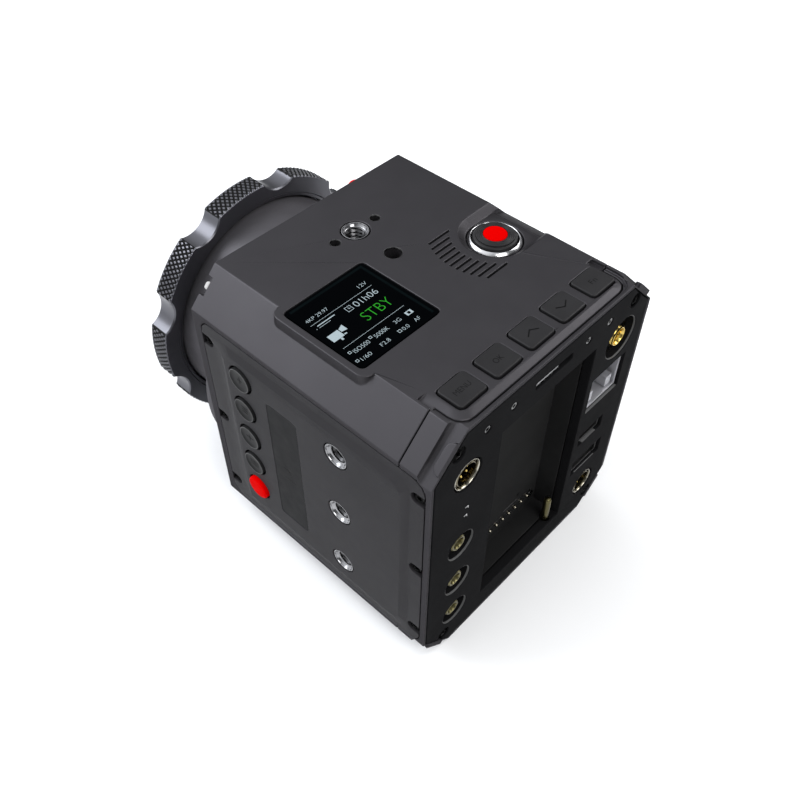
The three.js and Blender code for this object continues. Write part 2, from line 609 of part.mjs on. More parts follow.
const key = (index) => {
  const x = keyCentre(index);
  const outline = roundedRect(
    x - KEY.width / 2, x + KEY.width / 2, KEY.y - KEY.depth / 2, KEY.y + KEY.depth / 2, KEY.r,
  );
  return prismZ(outline, KEY.foot, HEIGHT + KEY.rise);
};
const microphone = () => cylinderZ(-9.5, RECORD.y, 88.5, HEIGHT - WALL - GAP, 3, 20);

// ---------------------------------------------------------------- side and front buttons
const sideButton = (index, rise) => union(
  cylinderX(SIDE_BUTTON.y, sideButtonZ(index), COVER_BACK - 2, PANEL_X + rise, SIDE_BUTTON.radius, 24),
  cylinderX(SIDE_BUTTON.y, sideButtonZ(index), COVER_BACK - 2 - SIDE_BUTTON.stem, COVER_BACK - 1.9, 1.6, 12),
);
const sideLabel = () => prismX(
  roundedRect(LABEL.y0 + GAP, LABEL.y1 - GAP, LABEL.z0 + GAP, LABEL.z1 - GAP, LABEL.r - GAP),
  PANEL_X - LABEL.deep + 0.2, PANEL_X - 0.1,
);
const frontButton = () =>
  cylinderY(FRONT_BUTTON.x, FRONT_BUTTON.z, FRONT - FRONT_BUTTON.rise, FRONT + 2.4, FRONT_BUTTON.radius, 20);

// ---------------------------------------------------------------- rear panel, bay and sockets
const screwHolesRear = () => union(
  ...[26, 16, -14.7, -24.4].map((x) => cylinderY(x, 92.2, -1.2, 1, 1.25, 12)),
  ...[36.3, -36.3].flatMap((x) => [6.9, 92.1].map((z) => cylinderY(x, z, -1.2, 1, 2.4, 16))),
);

const rearPanel = () => cut(
  prismY(octagon(RIM + GAP, RIM + GAP + 0.8), -PANEL_THICK, 0),
  rearRooms(),
  cylinderZ(LATCH_PIN.x, LATCH_PIN.y, 2, BAY.z0 + 1, LATCH_PIN.radius + GAP, 16),
  box(BAY.x0, BAY.x1, -10, 10, BAY.z0, BAY.z1),
  cylinderY(LEFT_PORTS_X, AUDIO_Z, -10, 10, PORT_RADIUS, 24),
  ...JACKS_Z.map((z) => cylinderY(LEFT_PORTS_X, z, -10, 10, PORT_RADIUS, 24)),
  cylinderY(POWER.x, POWER.z, -10, 10, PORT_RADIUS, 24),
  cylinderY(ANTENNA.x, ANTENNA.z, -10, 10, ANTENNA.recess, 28),
  ...[ETHERNET, USB, HDMI].map(({ x0, x1, z0, z1 }) => box(x0, x1, -10, 10, z0, z1)),
  prismY(roundedRect(-RELEASE.slot, RELEASE.slot, RELEASE.z - 1.2, RELEASE.z + 1.2, 0.6), -10, 10),
  screwHolesRear(),
);

const batteryTray = () => {
  const { x0, x1, z0, z1, floor, wall } = BAY;
  const rim = -PANEL_THICK - GAP;
  return cut(
    box(x0 - wall, x1 + wall, floor - 2, rim, z0 - wall, z1 + wall),
    box(x0, x1, floor, 10, z0, z1),
    box(CONTACTS.x - 2, CONTACTS.x + CONTACTS.pitch * 6 + 2, floor - 5, 0, CONTACTS.z - 1.7, CONTACTS.z + 1.7),
    cylinderZ(LATCH_PIN.x, LATCH_PIN.y, 0, BAY.z0 + 1, LATCH_PIN.radius + GAP, 16),
  );
};

const batteryContacts = () => {
  const { count, pitch, x, z, radius } = CONTACTS;
  const end = x + pitch * (count - 1);
  return union(
    box(x - 1.7, end + 1.7, BAY.floor - 3.5, BAY.floor - 0.2, z - 1.4, z + 1.4),
    ...range(count).map((index) =>
      cylinderY(x + index * pitch, z, BAY.floor - 1, BAY.floor + 1.2, radius, 10)),
  );
};

const latchPin = () => cylinderZ(LATCH_PIN.x, LATCH_PIN.y, LATCH_PIN.foot, LATCH_PIN.top, LATCH_PIN.radius, 16);
const releaseSlide = () => union(
  box(RELEASE.x0, RELEASE.x1, -4.3, -0.5, RELEASE.z - 0.85, RELEASE.z + 0.85),
  box(RELEASE.x0 - 2, RELEASE.x1 + 2, -4.3, -PANEL_THICK - GAP, RELEASE.z - 1.8, RELEASE.z + 1.8),
);

// A round push-pull socket: a metal nut round a recessed insulator with contact holes.
const roundSocket = (x, z) => cut(
  union(
    cylinderY(x, z, -15, -3.4, 4, 16),
    cylinderY(x, z, -4.4, -0.3, PORT_RADIUS - 0.4, 24),
  ),
  cylinderY(x, z, -6, 1, 3.3, 20),
);
const jack = (z) => cut(
  union(
    cylinderY(LEFT_PORTS_X, z, -15, -3.4, 4, 16),
    cylinderY(LEFT_PORTS_X, z, -4.4, -1.6, PORT_RADIUS - 0.4, 20),
  ),
  cylinderY(LEFT_PORTS_X, z, -13, 1, 1.8, 16),
);
const antennaSocket = () => cut(
  union(
    cylinderY(ANTENNA.x, ANTENNA.z, -7, -5.4, ANTENNA.recess - 0.4, 24),
    cylinderY(ANTENNA.x, ANTENNA.z, -12, -0.6, ANTENNA.barrel, 16),
  ),
  cylinderY(ANTENNA.x, ANTENNA.z, -3.6, 1, 2.3, 16),
);
const shellSocket = ({ x0, x1, z0, z1 }, rim, deep, tongue) => {
  const shell = cut(
    box(x0 + GAP, x1 - GAP, -deep, -0.9, z0 + GAP, z1 - GAP),
    box(x0 + rim, x1 - rim, -deep + 2, 1, z0 + rim, z1 - rim),
  );
  return tongue ? union(shell, tongue) : shell;
};
const ethernetJack = () => shellSocket(ETHERNET, 1.1, 18);
const usbPort = () => shellSocket(
  USB, 1, 10, box(-31.6, -25.7, -8.5, -3.4, 44.25, 44.95),
);
const hdmiPort = () => shellSocket(
  HDMI, 1, 11, box(-35.2, -25.1, -9.5, -3.4, 30.3, 31),
);

// ---------------------------------------------------------------- assembly
place('main_shell', 'shell', mainShell());
place('rear_frame', 'shell', rearFrame());
place('left_cover', 'cover', leftCover());
place('right_cover', 'cover', rightCover());
place('base_plate', 'cover', basePlate());
place('rear_panel', 'blackPlastic', rearPanel());
place('battery_tray', 'blackPlastic', batteryTray());
place('battery_contacts', 'brass', batteryContacts());
place('battery_latch_pin', 'brass', latchPin());
place('battery_release', 'steel', releaseSlide());

place('mount_barrel', 'shell', mountBarrel());
place('mount_flange', 'steel', mountFlange());
place('locking_ring', 'blackPlastic', lockingRing());
place('lens_contacts', 'brass', lensContacts());
place('tally_lamp', 'white', lamp());

place('sensor_block', 'blackPlastic', sensorBlock());
place('sensor_window', 'clear', sensorWindow());
place('sensor_board', 'board', sensorBoard());
place('heatsink', 'aluminium', heatsink());
place('main_board', 'board', mainBoard());
place('key_board', 'board', keyBoard());
place('fan_housing', 'blackPlastic', fanHousing());
place('fan_rotor', 'blackPlastic', fanRotor());
place('card_slot', 'aluminium', cardSlot());

place('display_glass', 'glass', displayGlass());
place('display_module', 'blackPlastic', displayModule());
place('record_ring', 'chrome', recordRing());
place('record_button', 'rubber', recordButton());
place('record_dot', 'red', recordDot());
place('microphone', 'aluminium', microphone());
['key_menu', 'key_ok', 'key_up', 'key_down', 'key_function'].forEach((name, index) =>
  place(name, 'rubber', key(index)));

range(4).forEach((index) => place(`side_button_${index + 1}`, 'rubber', sideButton(index, SIDE_BUTTON.rise)));
place('side_record_button', 'red', sideButton(4, RED_RISE));
place('front_record_button', 'red', frontButton());
place('side_label', 'blackPlastic', sideLabel());

const topInsert = () =>
  insertZ(TOP_INSERT_Y, HEIGHT - 0.1 - INSERT_LENGTH, HEIGHT - 0.1, INSERT_RADIUS, INSERT_BORE);
place('top_insert', 'steel', topInsert());
SIDE_INSERT_Z.forEach((z, index) => place(`side_insert_${index + 1}`, 'steel', insertX(z)));
place('base_insert_small', 'steel', insertZ(-60, 0.1, 8, INSERT_RADIUS, INSERT_BORE));
place('base_insert_large', 'steel', insertZ(-38, 0.1, 8, 6, 4.3, 28));

place('card_door', 'cover', cardDoor());
place('door_pin', 'steel', doorPin());

place('audio_socket', 'steel', roundSocket(LEFT_PORTS_X, AUDIO_Z));
place('power_socket', 'steel', roundSocket(POWER.x, POWER.z));
JACKS_Z.forEach((z, index) => place(`jack_${index + 1}`, 'brass', jack(z)));
place('antenna_socket', 'brass', antennaSocket());
place('ethernet_jack', 'steel', ethernetJack());
place('usb_port', 'steel', usbPort());
place('hdmi_port', 'steel', hdmiPort());

camera.position.y = -RING_FRONT / 2;

export default camera;
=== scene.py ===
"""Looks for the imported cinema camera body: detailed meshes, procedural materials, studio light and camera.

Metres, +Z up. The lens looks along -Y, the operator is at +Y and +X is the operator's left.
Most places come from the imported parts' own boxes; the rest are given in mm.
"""

import json
import math
import random

import bmesh
import bpy
from mathutils import Matrix, Vector

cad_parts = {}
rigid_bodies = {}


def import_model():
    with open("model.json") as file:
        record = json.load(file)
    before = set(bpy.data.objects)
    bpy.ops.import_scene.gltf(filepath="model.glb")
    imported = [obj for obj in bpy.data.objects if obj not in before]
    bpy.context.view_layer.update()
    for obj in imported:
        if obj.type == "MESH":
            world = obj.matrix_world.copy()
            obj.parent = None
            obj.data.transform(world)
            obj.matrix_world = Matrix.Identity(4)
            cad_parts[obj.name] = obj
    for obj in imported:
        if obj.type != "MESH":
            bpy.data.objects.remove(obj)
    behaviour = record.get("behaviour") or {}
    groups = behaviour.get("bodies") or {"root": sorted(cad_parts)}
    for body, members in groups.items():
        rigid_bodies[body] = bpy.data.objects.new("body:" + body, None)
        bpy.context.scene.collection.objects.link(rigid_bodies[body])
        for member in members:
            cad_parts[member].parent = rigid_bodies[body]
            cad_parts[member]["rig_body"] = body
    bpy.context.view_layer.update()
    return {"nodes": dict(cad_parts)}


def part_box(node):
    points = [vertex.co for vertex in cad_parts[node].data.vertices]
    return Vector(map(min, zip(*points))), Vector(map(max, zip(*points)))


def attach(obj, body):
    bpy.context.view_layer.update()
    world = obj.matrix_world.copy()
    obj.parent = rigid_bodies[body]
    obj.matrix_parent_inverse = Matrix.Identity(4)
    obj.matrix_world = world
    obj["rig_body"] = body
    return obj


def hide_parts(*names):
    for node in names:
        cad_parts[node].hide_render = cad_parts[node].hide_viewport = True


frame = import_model()
MM = 0.001
X, Y, Z = Vector((1, 0, 0)), Vector((0, 1, 0)), Vector((0, 0, 1))

# ---------------------------------------------------------------- places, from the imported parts


def low(node):
    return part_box(node)[0]


def high(node):
    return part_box(node)[1]


def centre(node):
    return (low(node) + high(node)) / 2


TOP = high("main_shell").z
REAR = high("rear_panel").y
LENS_Z = centre("locking_ring").z

# ---------------------------------------------------------------- materials


def add(tree, kind, **values):
    """A node with its unlinked sockets set by name."""
    node = tree.nodes.new(kind)
    for key, value in values.items():
        name = key.replace("_", " ").title().replace("Uv", "UV")
        if name in node.inputs:
            node.inputs[name].default_value = value
        else:
            setattr(node, key, value)
    return node


def blank(name, color, roughness, metallic=0.0, **sockets):
    """A Principled material, its shader and its tree."""
    material = bpy.data.materials.new(name)
    material.use_nodes = True
    tree = material.node_tree
    shader = tree.nodes["Principled BSDF"]
    shader.inputs["Base Color"].default_value = (*color, 1)
    shader.inputs["Roughness"].default_value = roughness
    shader.inputs["Metallic"].default_value = metallic
    for key, value in sockets.items():
        shader.inputs[key.replace("_", " ").title().replace("Ior", "IOR")].default_value = value
    return material, shader, tree


def noise(tree, size_mm, detail=3.0, stretch=(1, 1, 1)):
    """Noise in object space with features about size_mm across."""
    place = add(tree, "ShaderNodeTexCoord")
    mapping = add(tree, "ShaderNodeMapping")
    mapping.inputs["Scale"].default_value = [1 / (size_mm * MM) * s for s in stretch]
    texture = add(tree, "ShaderNodeTexNoise", scale=1.0, detail=detail)
    tree.links.new(place.outputs["Object"], mapping.inputs["Vector"])
    tree.links.new(mapping.outputs["Vector"], texture.inputs["Vector"])
    return texture.outputs["Fac"]


def spread(tree, source, start, end):
    """A noise value remapped from its usual span to start..end."""
    node = add(tree, "ShaderNodeMapRange")
    node.inputs["From Min"].default_value = 0.3
    node.inputs["From Max"].default_value = 0.7
    node.inputs["To Min"].default_value = start
    node.inputs["To Max"].default_value = end
    tree.links.new(source, node.inputs["Value"])
    return node.outputs["Result"]


def tint(tree, shader, source, dark, light):
    ramp = add(tree, "ShaderNodeValToRGB")
    ramp.color_ramp.elements[0].position = 0.3
    ramp.color_ramp.elements[1].position = 0.7
    ramp.color_ramp.elements[0].color = (*dark, 1)
    ramp.color_ramp.elements[1].color = (*light, 1)
    tree.links.new(source, ramp.inputs["Fac"])
    tree.links.new(ramp.outputs["Color"], shader.inputs["Base Color"])


def bump(tree, shader, source, depth_mm, strength=1.0):
    node = add(tree, "ShaderNodeBump", strength=strength)
    node.inputs["Distance"].default_value = depth_mm * MM
    tree.links.new(source, node.inputs["Height"])
    tree.links.new(node.outputs["Normal"], shader.inputs["Normal"])


def surface(name, dark, light, rough, metallic, grain_mm, depth_mm, patch_mm=14.0, stretch=(1, 1, 1), **more):
    """The shared recipe: slow colour change, uneven roughness and a fine grain in relief."""
    material, shader, tree = blank(name, light, rough[1], metallic, **more)
    tint(tree, shader, noise(tree, patch_mm), dark, light)
    uneven = spread(tree, noise(tree, patch_mm / 4, 5.0, stretch), *rough)
    tree.links.new(uneven, shader.inputs["Roughness"])
    bump(tree, shader, noise(tree, grain_mm, 2.0, stretch), depth_mm, 0.6)
    return material


def grey(value, cool=0.0):
    return (value, value, value * (1 + cool))


def anodised(value):
    """A dark grey with the faint violet cast of anodised alloy."""
    return (value * 1.02, value * 0.98, value * 1.06)


EDGE_TINT = (0.3, 0.3, 0.3, 1)      # anodised metal shines less at a glancing angle than bare metal
SHELL = surface(
    "satin_anodised_shell", anodised(0.05), anodised(0.054), (0.42, 0.46), 0.75, 0.16, 0.008,
    specular_ior_level=0.12, specular_tint=EDGE_TINT,
)
COVER = surface(
    "satin_anodised_cover", anodised(0.025), anodised(0.029), (0.42, 0.47), 0.3, 0.16, 0.008,
    specular_ior_level=0.1, specular_tint=EDGE_TINT,
)
BARREL = surface(
    "bead_blasted_barrel", anodised(0.085), anodised(0.1), (0.44, 0.52), 0.5, 0.2, 0.01,
    specular_ior_level=0.1, specular_tint=EDGE_TINT,
)
RING = surface(
    "anodised_locking_ring", grey(0.095, 0.12), grey(0.105, 0.12), (0.28, 0.32), 0.85, 0.12, 0.002,
)
# Painted shade: a near-black copy for the knurl's valley faces, so the grooves read as if in shadow.
KNURL_VALLEY_SHADE = surface(
    "painted_shade_knurl_valleys", grey(0.006), grey(0.012), (0.5, 0.6), 0.0, 0.12, 0.002,
    specular_ior_level=0.1,
)
PANEL = surface(
    "moulded_black_panel", grey(0.008, 0.06), grey(0.010, 0.06), (0.4, 0.48), 0.0, 0.22, 0.01,
    specular_ior_level=0.002,
)
TRAY = surface(
    "moulded_black_tray", grey(0.016), grey(0.02), (0.4, 0.5), 0.0, 0.3, 0.02,
    specular_ior_level=0.002,
)
# Painted highlight: a lighter grey for thin rims, sills and lips that stand in for lit edges on dark parts.
EDGE_HIGHLIGHT = surface(
    "painted_highlight_edge", grey(0.09), grey(0.13), (0.4, 0.5), 0.0, 0.3, 0.002,
    specular_ior_level=0.05,
)
RUBBER = surface(
    "dark_key_rubber", anodised(0.010), anodised(0.013), (0.42, 0.52), 0.0, 0.1, 0.006,
    specular_ior_level=0.22,
)
BUTTON = surface(
    "dark_side_button", grey(0.010, 0.03), grey(0.014, 0.03), (0.34, 0.44), 0.0, 0.1, 0.004,
    specular_ior_level=0.05,
)
RED = surface(
    "signal_red_cap", (0.52, 0.0, 0.0), (0.58, 0.0, 0.0), (0.42, 0.5), 0.0, 0.15, 0.002,
    specular_ior_level=0.004,
)
STEEL = surface("turned_steel", grey(0.2, 0.03), grey(0.3, 0.03), (0.13, 0.2), 1.0, 0.1, 0.002)
# Painted shade: a darker copy of the turned steel for the thread deep in the bore.
SHADED_THREAD = surface("painted_shade_thread_steel", grey(0.05, 0.03), grey(0.09, 0.03), (0.26, 0.36), 1.0, 0.1, 0.002)
CHROME = surface("polished_chrome", grey(0.55, 0.02), grey(0.62, 0.02), (0.16, 0.22), 1.0, 0.3, 0.001)
NICKEL = surface("warm_nickel", (0.24, 0.22, 0.17), (0.34, 0.31, 0.25), (0.14, 0.22), 1.0, 0.1, 0.003)
# Painted shade: a darkened nickel for the socket nuts, standing in for dark reflections.
SHADED_NICKEL = surface(
    "painted_shade_nickel", (0.07, 0.062, 0.04), (0.12, 0.105, 0.07), (0.14, 0.22), 1.0, 0.1, 0.003,
)
# Painted highlight: a brighter nickel for the thin ring on each socket's lip.
HIGHLIGHT_RIM = surface("painted_highlight_socket_rim", (0.3, 0.28, 0.23), (0.42, 0.4, 0.34), (0.12, 0.2), 1.0, 0.1, 0.003)
# Painted shade: a darkened brass for the jacks and the latch pin deep in their recesses, standing in for dark
# reflections.
SHADED_BRASS = surface("painted_shade_brass", (0.10, 0.09, 0.04), (0.17, 0.15, 0.075), (0.26, 0.36), 1.0, 0.1, 0.004)
GOLD = surface("gold_plate", (0.50, 0.36, 0.09), (0.64, 0.47, 0.15), (0.14, 0.24), 1.0, 0.1, 0.004)
SCREW = surface(
    "black_oxide_screw", grey(0.018), grey(0.035), (0.22, 0.36), 1.0, 0.12, 0.006,
    specular_tint=EDGE_TINT,
)
# Worn screw heads on the rear, and also the painted highlight ringing the holes in the top.
WORN_SCREW_AND_HIGHLIGHT = surface("worn_screw_and_painted_highlight", grey(0.08), grey(0.22), (0.2, 0.34), 1.0, 0.12, 0.006)
TIN = surface(
    "tinned_sheet", grey(0.34, 0.06), grey(0.46, 0.06), (0.3, 0.4), 0.55, 0.2, 0.006,
    stretch=(1, 6, 1),
)
# Painted shade: a darkened copy of the tinned sheet for the USB and HDMI shells inside their dark openings.
SHADED_TIN = surface(
    "painted_shade_sheet", grey(0.05), grey(0.09), (0.24, 0.36), 0.9, 0.2, 0.006, stretch=(1, 6, 1),
)
ALLOY = surface("extruded_alloy", grey(0.45), grey(0.58), (0.3, 0.44), 1.0, 0.15, 0.01, stretch=(5, 1, 1))
BOARD = surface(
    "green_solder_mask", (0.004, 0.035, 0.016), (0.006, 0.05, 0.024), (0.25, 0.4), 0.0, 0.4, 0.01,
)
CHIP = surface("moulded_chip", grey(0.012), grey(0.02), (0.4, 0.55), 0.0, 0.15, 0.01)
INLAY = surface(
    "matte_label_plate", grey(0.009, 0.06), grey(0.012, 0.06), (0.4, 0.5), 0.0, 0.12, 0.006,
    specular_ior_level=0.03,
)
# Dark print on the keys, buttons and label; also the painted shade of the small key slot in the battery bay.
MARK = surface(
    "dark_print_and_painted_shade", grey(0.003), grey(0.005), (0.4, 0.5), 0.0, 0.2, 0.002,
    specular_ior_level=0.05,
)
# Painted highlight: pale marks for the lit edges of two tiny rear windows.
PALE_HIGHLIGHT = surface("pale_painted_highlight", grey(0.55), grey(0.62), (0.4, 0.5), 0.0, 0.2, 0.003)
INSULATOR = surface("black_insulator", grey(0.01), grey(0.016), (0.3, 0.45), 0.0, 0.2, 0.01)


def glass_black():
    material, shader, tree = blank(
        "black_display_glass", (0.0008, 0.001, 0.0013), 0.08, 0.0, specular_ior_level=0.002,
    )
    smudge = spread(tree, noise(tree, 9.0, 4.0), 0.06, 0.14)
    tree.links.new(smudge, shader.inputs["Roughness"])
    return material


def sensor_glass():
    material, shader, tree = blank("sensor_cover_glass", (0.02, 0.04, 0.05), 0.04, 0.3, coat_weight=1.0)
    tint(tree, shader, noise(tree, 30.0, 1.0), (0.012, 0.03, 0.03), (0.05, 0.02, 0.05))
    return material


def glow(name, color, strength):
    """A lit display mark: evenly bright with a faint pixel pattern."""
    material, shader, tree = blank(name, color, 0.6, specular_ior_level=0.1)
    shader.inputs["Emission Color"].default_value = (*color, 1)
    shader.inputs["Emission Strength"].default_value = strength
    tint(tree, shader, noise(tree, 0.4, 1.0), tuple(0.2 * c for c in color), tuple(0.25 * c for c in color))
    return material


GLASS = glass_black()
# Painted highlight: faint lighter lines along two edges of the display's recess, where its bevel catches light.
BEVEL_HIGHLIGHT = surface(
    "painted_bevel_highlight", (0.0018, 0.0032, 0.0036), (0.0022, 0.004, 0.0045), (0.3, 0.4), 0.0, 0.3,
    0.002, specular_ior_level=0.002,
)
SENSOR = sensor_glass()
LIT_WHITE = glow("lit_white", (0.46, 0.56, 0.6), 0.62)
LIT_GREEN = glow("lit_green", (0.02, 0.34, 0.015), 0.7)
LAMP = glow("lamp_white", (0.9, 0.9, 0.9), 0.5)

# ---------------------------------------------------------------- mesh tools


def facing(origin, out, up):
    """A local frame on a face: X runs right for a person who looks at it, Y runs up and Z points out."""
    out, up = Vector(out).normalized(), Vector(up).normalized()
    right = up.cross(out)
    return Matrix.Translation(origin) @ Matrix((right, up, out)).transposed().to_4x4()


def finish_mesh(name, bm, material, body, replaces=(), smooth=35.0):
    """Makes the piece: recalculated normals, smooth shading up to an angle, and its place in the frame."""
    bmesh.ops.recalc_face_normals(bm, faces=bm.faces)
    mesh = bpy.data.meshes.new(name)
    bm.to_mesh(mesh)
    bm.free()
    mesh.polygons.foreach_set("use_smooth", [True] * len(mesh.polygons))
    mesh.set_sharp_from_angle(angle=math.radians(smooth))
    mesh.materials.append(material)
    piece = bpy.data.objects.new(name, mesh)
    bpy.context.scene.collection.objects.link(piece)
    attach(piece, body)
    if replaces:
        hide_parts(*replaces)
    return piece


def loft(bm, rings, close_start=True, close_end=True):
    """Quads between rings of equally many points; the ends are closed with a face each."""
    verts = [[bm.verts.new(point) for point in ring] for ring in rings]
    for before, after in zip(verts, verts[1:]):
        for i in range(len(before)):
            j = (i + 1) % len(before)
            bm.faces.new((before[i], before[j], after[j], after[i]))
    if close_start:
        bm.faces.new(list(reversed(verts[0])))
    if close_end:
        bm.faces.new(verts[-1])
    return verts


def ring_points(place, radius, height, sides, shape=None):
    """A ring about local Z; shape(angle) multiplies the radius."""
    points = []
    for i in range(sides):
        angle = 2 * math.pi * i / sides
        r = radius * (shape(angle) if shape else 1)
        points.append(place @ Vector((r * math.cos(angle), r * math.sin(angle), height)))
    return points


def turn(bm, place, profile, sides=64, closed=False):
    """A turned solid: profile points are (radius, height) in mm along local Z."""
    rings = [ring_points(place, r * MM, h * MM, sides) for r, h in profile]
    if closed:
        loft(bm, rings + [rings[0]], False, False)
        bmesh.ops.remove_doubles(bm, verts=bm.verts, dist=1e-7)
    else:
        loft(bm, rings)


def rounded(profile, radius, steps=3):
    """Rounds the inner corners of a profile, given in mm, with short arcs."""
    result = [profile[0]]
    for before, corner, after in zip(profile, profile[1:], profile[2:]):
        a, b, c = Vector(before), Vector(corner), Vector(after)
        reach = min(radius, (a - b).length * 0.45, (c - b).length * 0.45)
        start, end = b + (a - b).normalized() * reach, b + (c - b).normalized() * reach
        for i in range(steps + 1):
            t = i / steps
            result.append(tuple(start.lerp(b, t).lerp(b.lerp(end, t), t)))
    result.append(profile[-1])
    return result


def outline_solid(bm, place, outline, bottom, top, edge=0.0):
    """A prism of a drawn outline (mm), with a small chamfer round its top edge."""
    middle = sum((Vector(p) for p in outline), Vector((0, 0))) / len(outline)

    def level(height, inset):
        ring = []
        for p in outline:
            arm = Vector(p) - middle
            scale = max(0.0, 1 - inset / max(arm.length, 1e-6))
            ring.append(place @ Vector((*((middle + arm * scale) * MM), height * MM)))
        return ring

    rings = [level(bottom, 0), level(top - edge, 0)]
    if edge:
        rings.append(level(top, edge))
    loft(bm, rings)


def rounded_rect(width, height, radius, steps=5, at=(0, 0)):
    points = []
    for turn_index, (sx, sy) in enumerate([(1, -1), (1, 1), (-1, 1), (-1, -1)]):
        for i in range(steps + 1):
            angle = math.radians(-90 + 90 * turn_index + 90 * i / steps)
            points.append((
                at[0] + sx * (width / 2 - radius) + radius * math.cos(angle),
                at[1] + sy * (height / 2 - radius) + radius * math.sin(angle),
            ))
    return points


def dress(node, material, bevel_mm=0.2, segments=2, name=None, smooth=35.0):
    """A bevelled, smooth-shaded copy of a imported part's mesh, shown in its place."""
    source = frame["nodes"][node]
    bm = bmesh.new()
    bm.from_mesh(source.data)
    bmesh.ops.remove_doubles(bm, verts=bm.verts, dist=2e-6)
    piece = finish_mesh(name or node + "_finished", bm, material, source["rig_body"], (node,), smooth)
    if bevel_mm:
        bevel = piece.modifiers.new("edges", "BEVEL")
        bevel.width = bevel_mm * MM
        bevel.segments = segments
        bevel.limit_method = "ANGLE"
        bevel.angle_limit = math.radians(32)
        bevel.use_clamp_overlap = False
        even = piece.modifiers.new("even_shading", "WEIGHTED_NORMAL")
        even.keep_sharp = True
        even.weight = 100
    return piece


# ---------------------------------------------------------------- fasteners and lettering


def screw(bm, place, radius, top=0.0, depth=1.4):
    """A cap screw with a six-lobed socket, its head's top at the given height (mm)."""
    lobes = lambda angle: 1 + 0.14 * math.cos(6 * angle)
    sides = 36
    rings = [
        ring_points(place, radius * MM, (top - depth) * MM, sides),
        ring_points(place, radius * MM, (top - 0.18 * radius) * MM, sides),
        ring_points(place, radius * 0.86 * MM, top * MM, sides),
        ring_points(place, radius * 0.5 * MM, top * MM, sides, lobes),
        ring_points(place, radius * 0.47 * MM, (top - 0.1) * MM, sides, lobes),
        ring_points(place, radius * 0.45 * MM, (top - 0.6 * radius) * MM, sides, lobes),
    ]
    loft(bm, rings)


def write(text, place, height, width=None, align="LEFT", weight=-0.012):
    """Text as flat mesh faces: cap height and, if given, overall width in mm."""
    curve = bpy.data.curves.new("text", "FONT")
    curve.body = text
    curve.size = 1.0
    curve.offset = weight
    helper = bpy.data.objects.new("text", curve)
    bpy.context.scene.collection.objects.link(helper)
    bpy.context.view_layer.update()
    mesh = helper.to_mesh()
    bm = bmesh.new()
    bm.from_mesh(mesh)
    helper.to_mesh_clear()
    bpy.data.objects.remove(helper)
    bpy.data.curves.remove(curve)
    xs = [v.co.x for v in bm.verts]
    ys = [v.co.y for v in bm.verts]
    up = height / (max(ys) - min(ys))
    across = width / (max(xs) - min(xs)) if width else up
    start = {"LEFT": min(xs), "CENTER": (min(xs) + max(xs)) / 2, "RIGHT": max(xs)}[align]
    for v in bm.verts:
        v.co = place @ Vector(((v.co.x - start) * across * MM, (v.co.y - min(ys)) * up * MM, 0))
    return bm


def bar(place, x0, x1, y0, y1, height=0.02):
    """A thin raised bar on a face, from corner to corner in mm."""
    bm = bmesh.new()
    outline = [(x0, y0), (x1, y0), (x1, y1), (x0, y1)]
    loft(bm, [[place @ Vector((u * MM, v * MM, h * MM)) for u, v in outline] for h in (-0.01, height)])
    return bm


def joined(meshes):
    """Several bmeshes as one."""
    whole = bmesh.new()
    for part in meshes:
        mesh = bpy.data.meshes.new("part")
        part.to_mesh(mesh)
        part.free()
        whole.from_mesh(mesh)
        bpy.data.meshes.remove(mesh)
    return whole


# ---------------------------------------------------------------- body panels


def panels():
    dress("main_shell", SHELL, 0.27, 3)
    dress("rear_frame", SHELL, 0.22, 3)
    dress("left_cover", COVER, 0.18, 2)
    dress("right_cover", COVER, 0.18, 2)
    dress("base_plate", COVER, 0.25, 2)
    dress("card_door", COVER, 0.2, 2)
    dress("rear_panel", PANEL, 0.2, 2)
    dress("battery_tray", TRAY, 0.15, 2)
    side_label()
    dress("door_pin", STEEL, 0.08, 2)
    dress("battery_release", STEEL, 0.15, 2)
    dress("tally_lamp", LAMP, 0.55, 4)
    dress("display_module", CHIP, 0.2, 2)


def side_label():
    """The inlaid plate fills its pocket in the left cover and carries a faint line symbol."""
    box_low, box_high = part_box("side_label")
    middle = centre("side_label")
    place = facing((box_high.x, middle.y, middle.z), X, Z)
    width, height = (box_high.y - box_low.y) / MM, (box_high.z - box_low.z) / MM
    thick = (box_high.x - box_low.x) / MM
    bm = bmesh.new()
    outline_solid(bm, place, rounded_rect(width + 0.5, height + 0.5, 1.1), -thick, 0, 0.08)
    finish_mesh("side_label_plate", bm, INLAY, "camera_body", ("side_label",), 40)
    parts = []
    for index in range(3):
        arm = place @ Matrix.Rotation(math.radians(60 * index), 4, "Z")
        parts.append(bar(arm, -2.1, 2.1, -0.14, 0.14, 0.02))
    parts.append(bar(place, -2.6, 2.6, -4.1, -3.9, 0.02))
    finish_mesh("side_label_symbol", joined(parts), MARK, "camera_body")


# ---------------------------------------------------------------- lens mount

KNURL_COUNT = 160      # diamonds round the ring
KNURL_ALONG = 2.4      # mm, one diamond along the axis
KNURL_DEPTH = 0.5
KNURL_FACE = 0.5       # share of a diamond's height at which its flat face starts
RING_COLUMNS = KNURL_COUNT * 12
SCALLOPS = 9


def knurl(turns, along):
    """Height of a diamond pattern with flat faces: 0 in the valleys and 1 on the faces."""
    saw = lambda value: 1 - abs(2 * (value % 1) - 1)
    around, step = turns * KNURL_COUNT, along / KNURL_ALONG
    return min(1.0, min(saw(around + step), saw(around - step)) / KNURL_FACE)


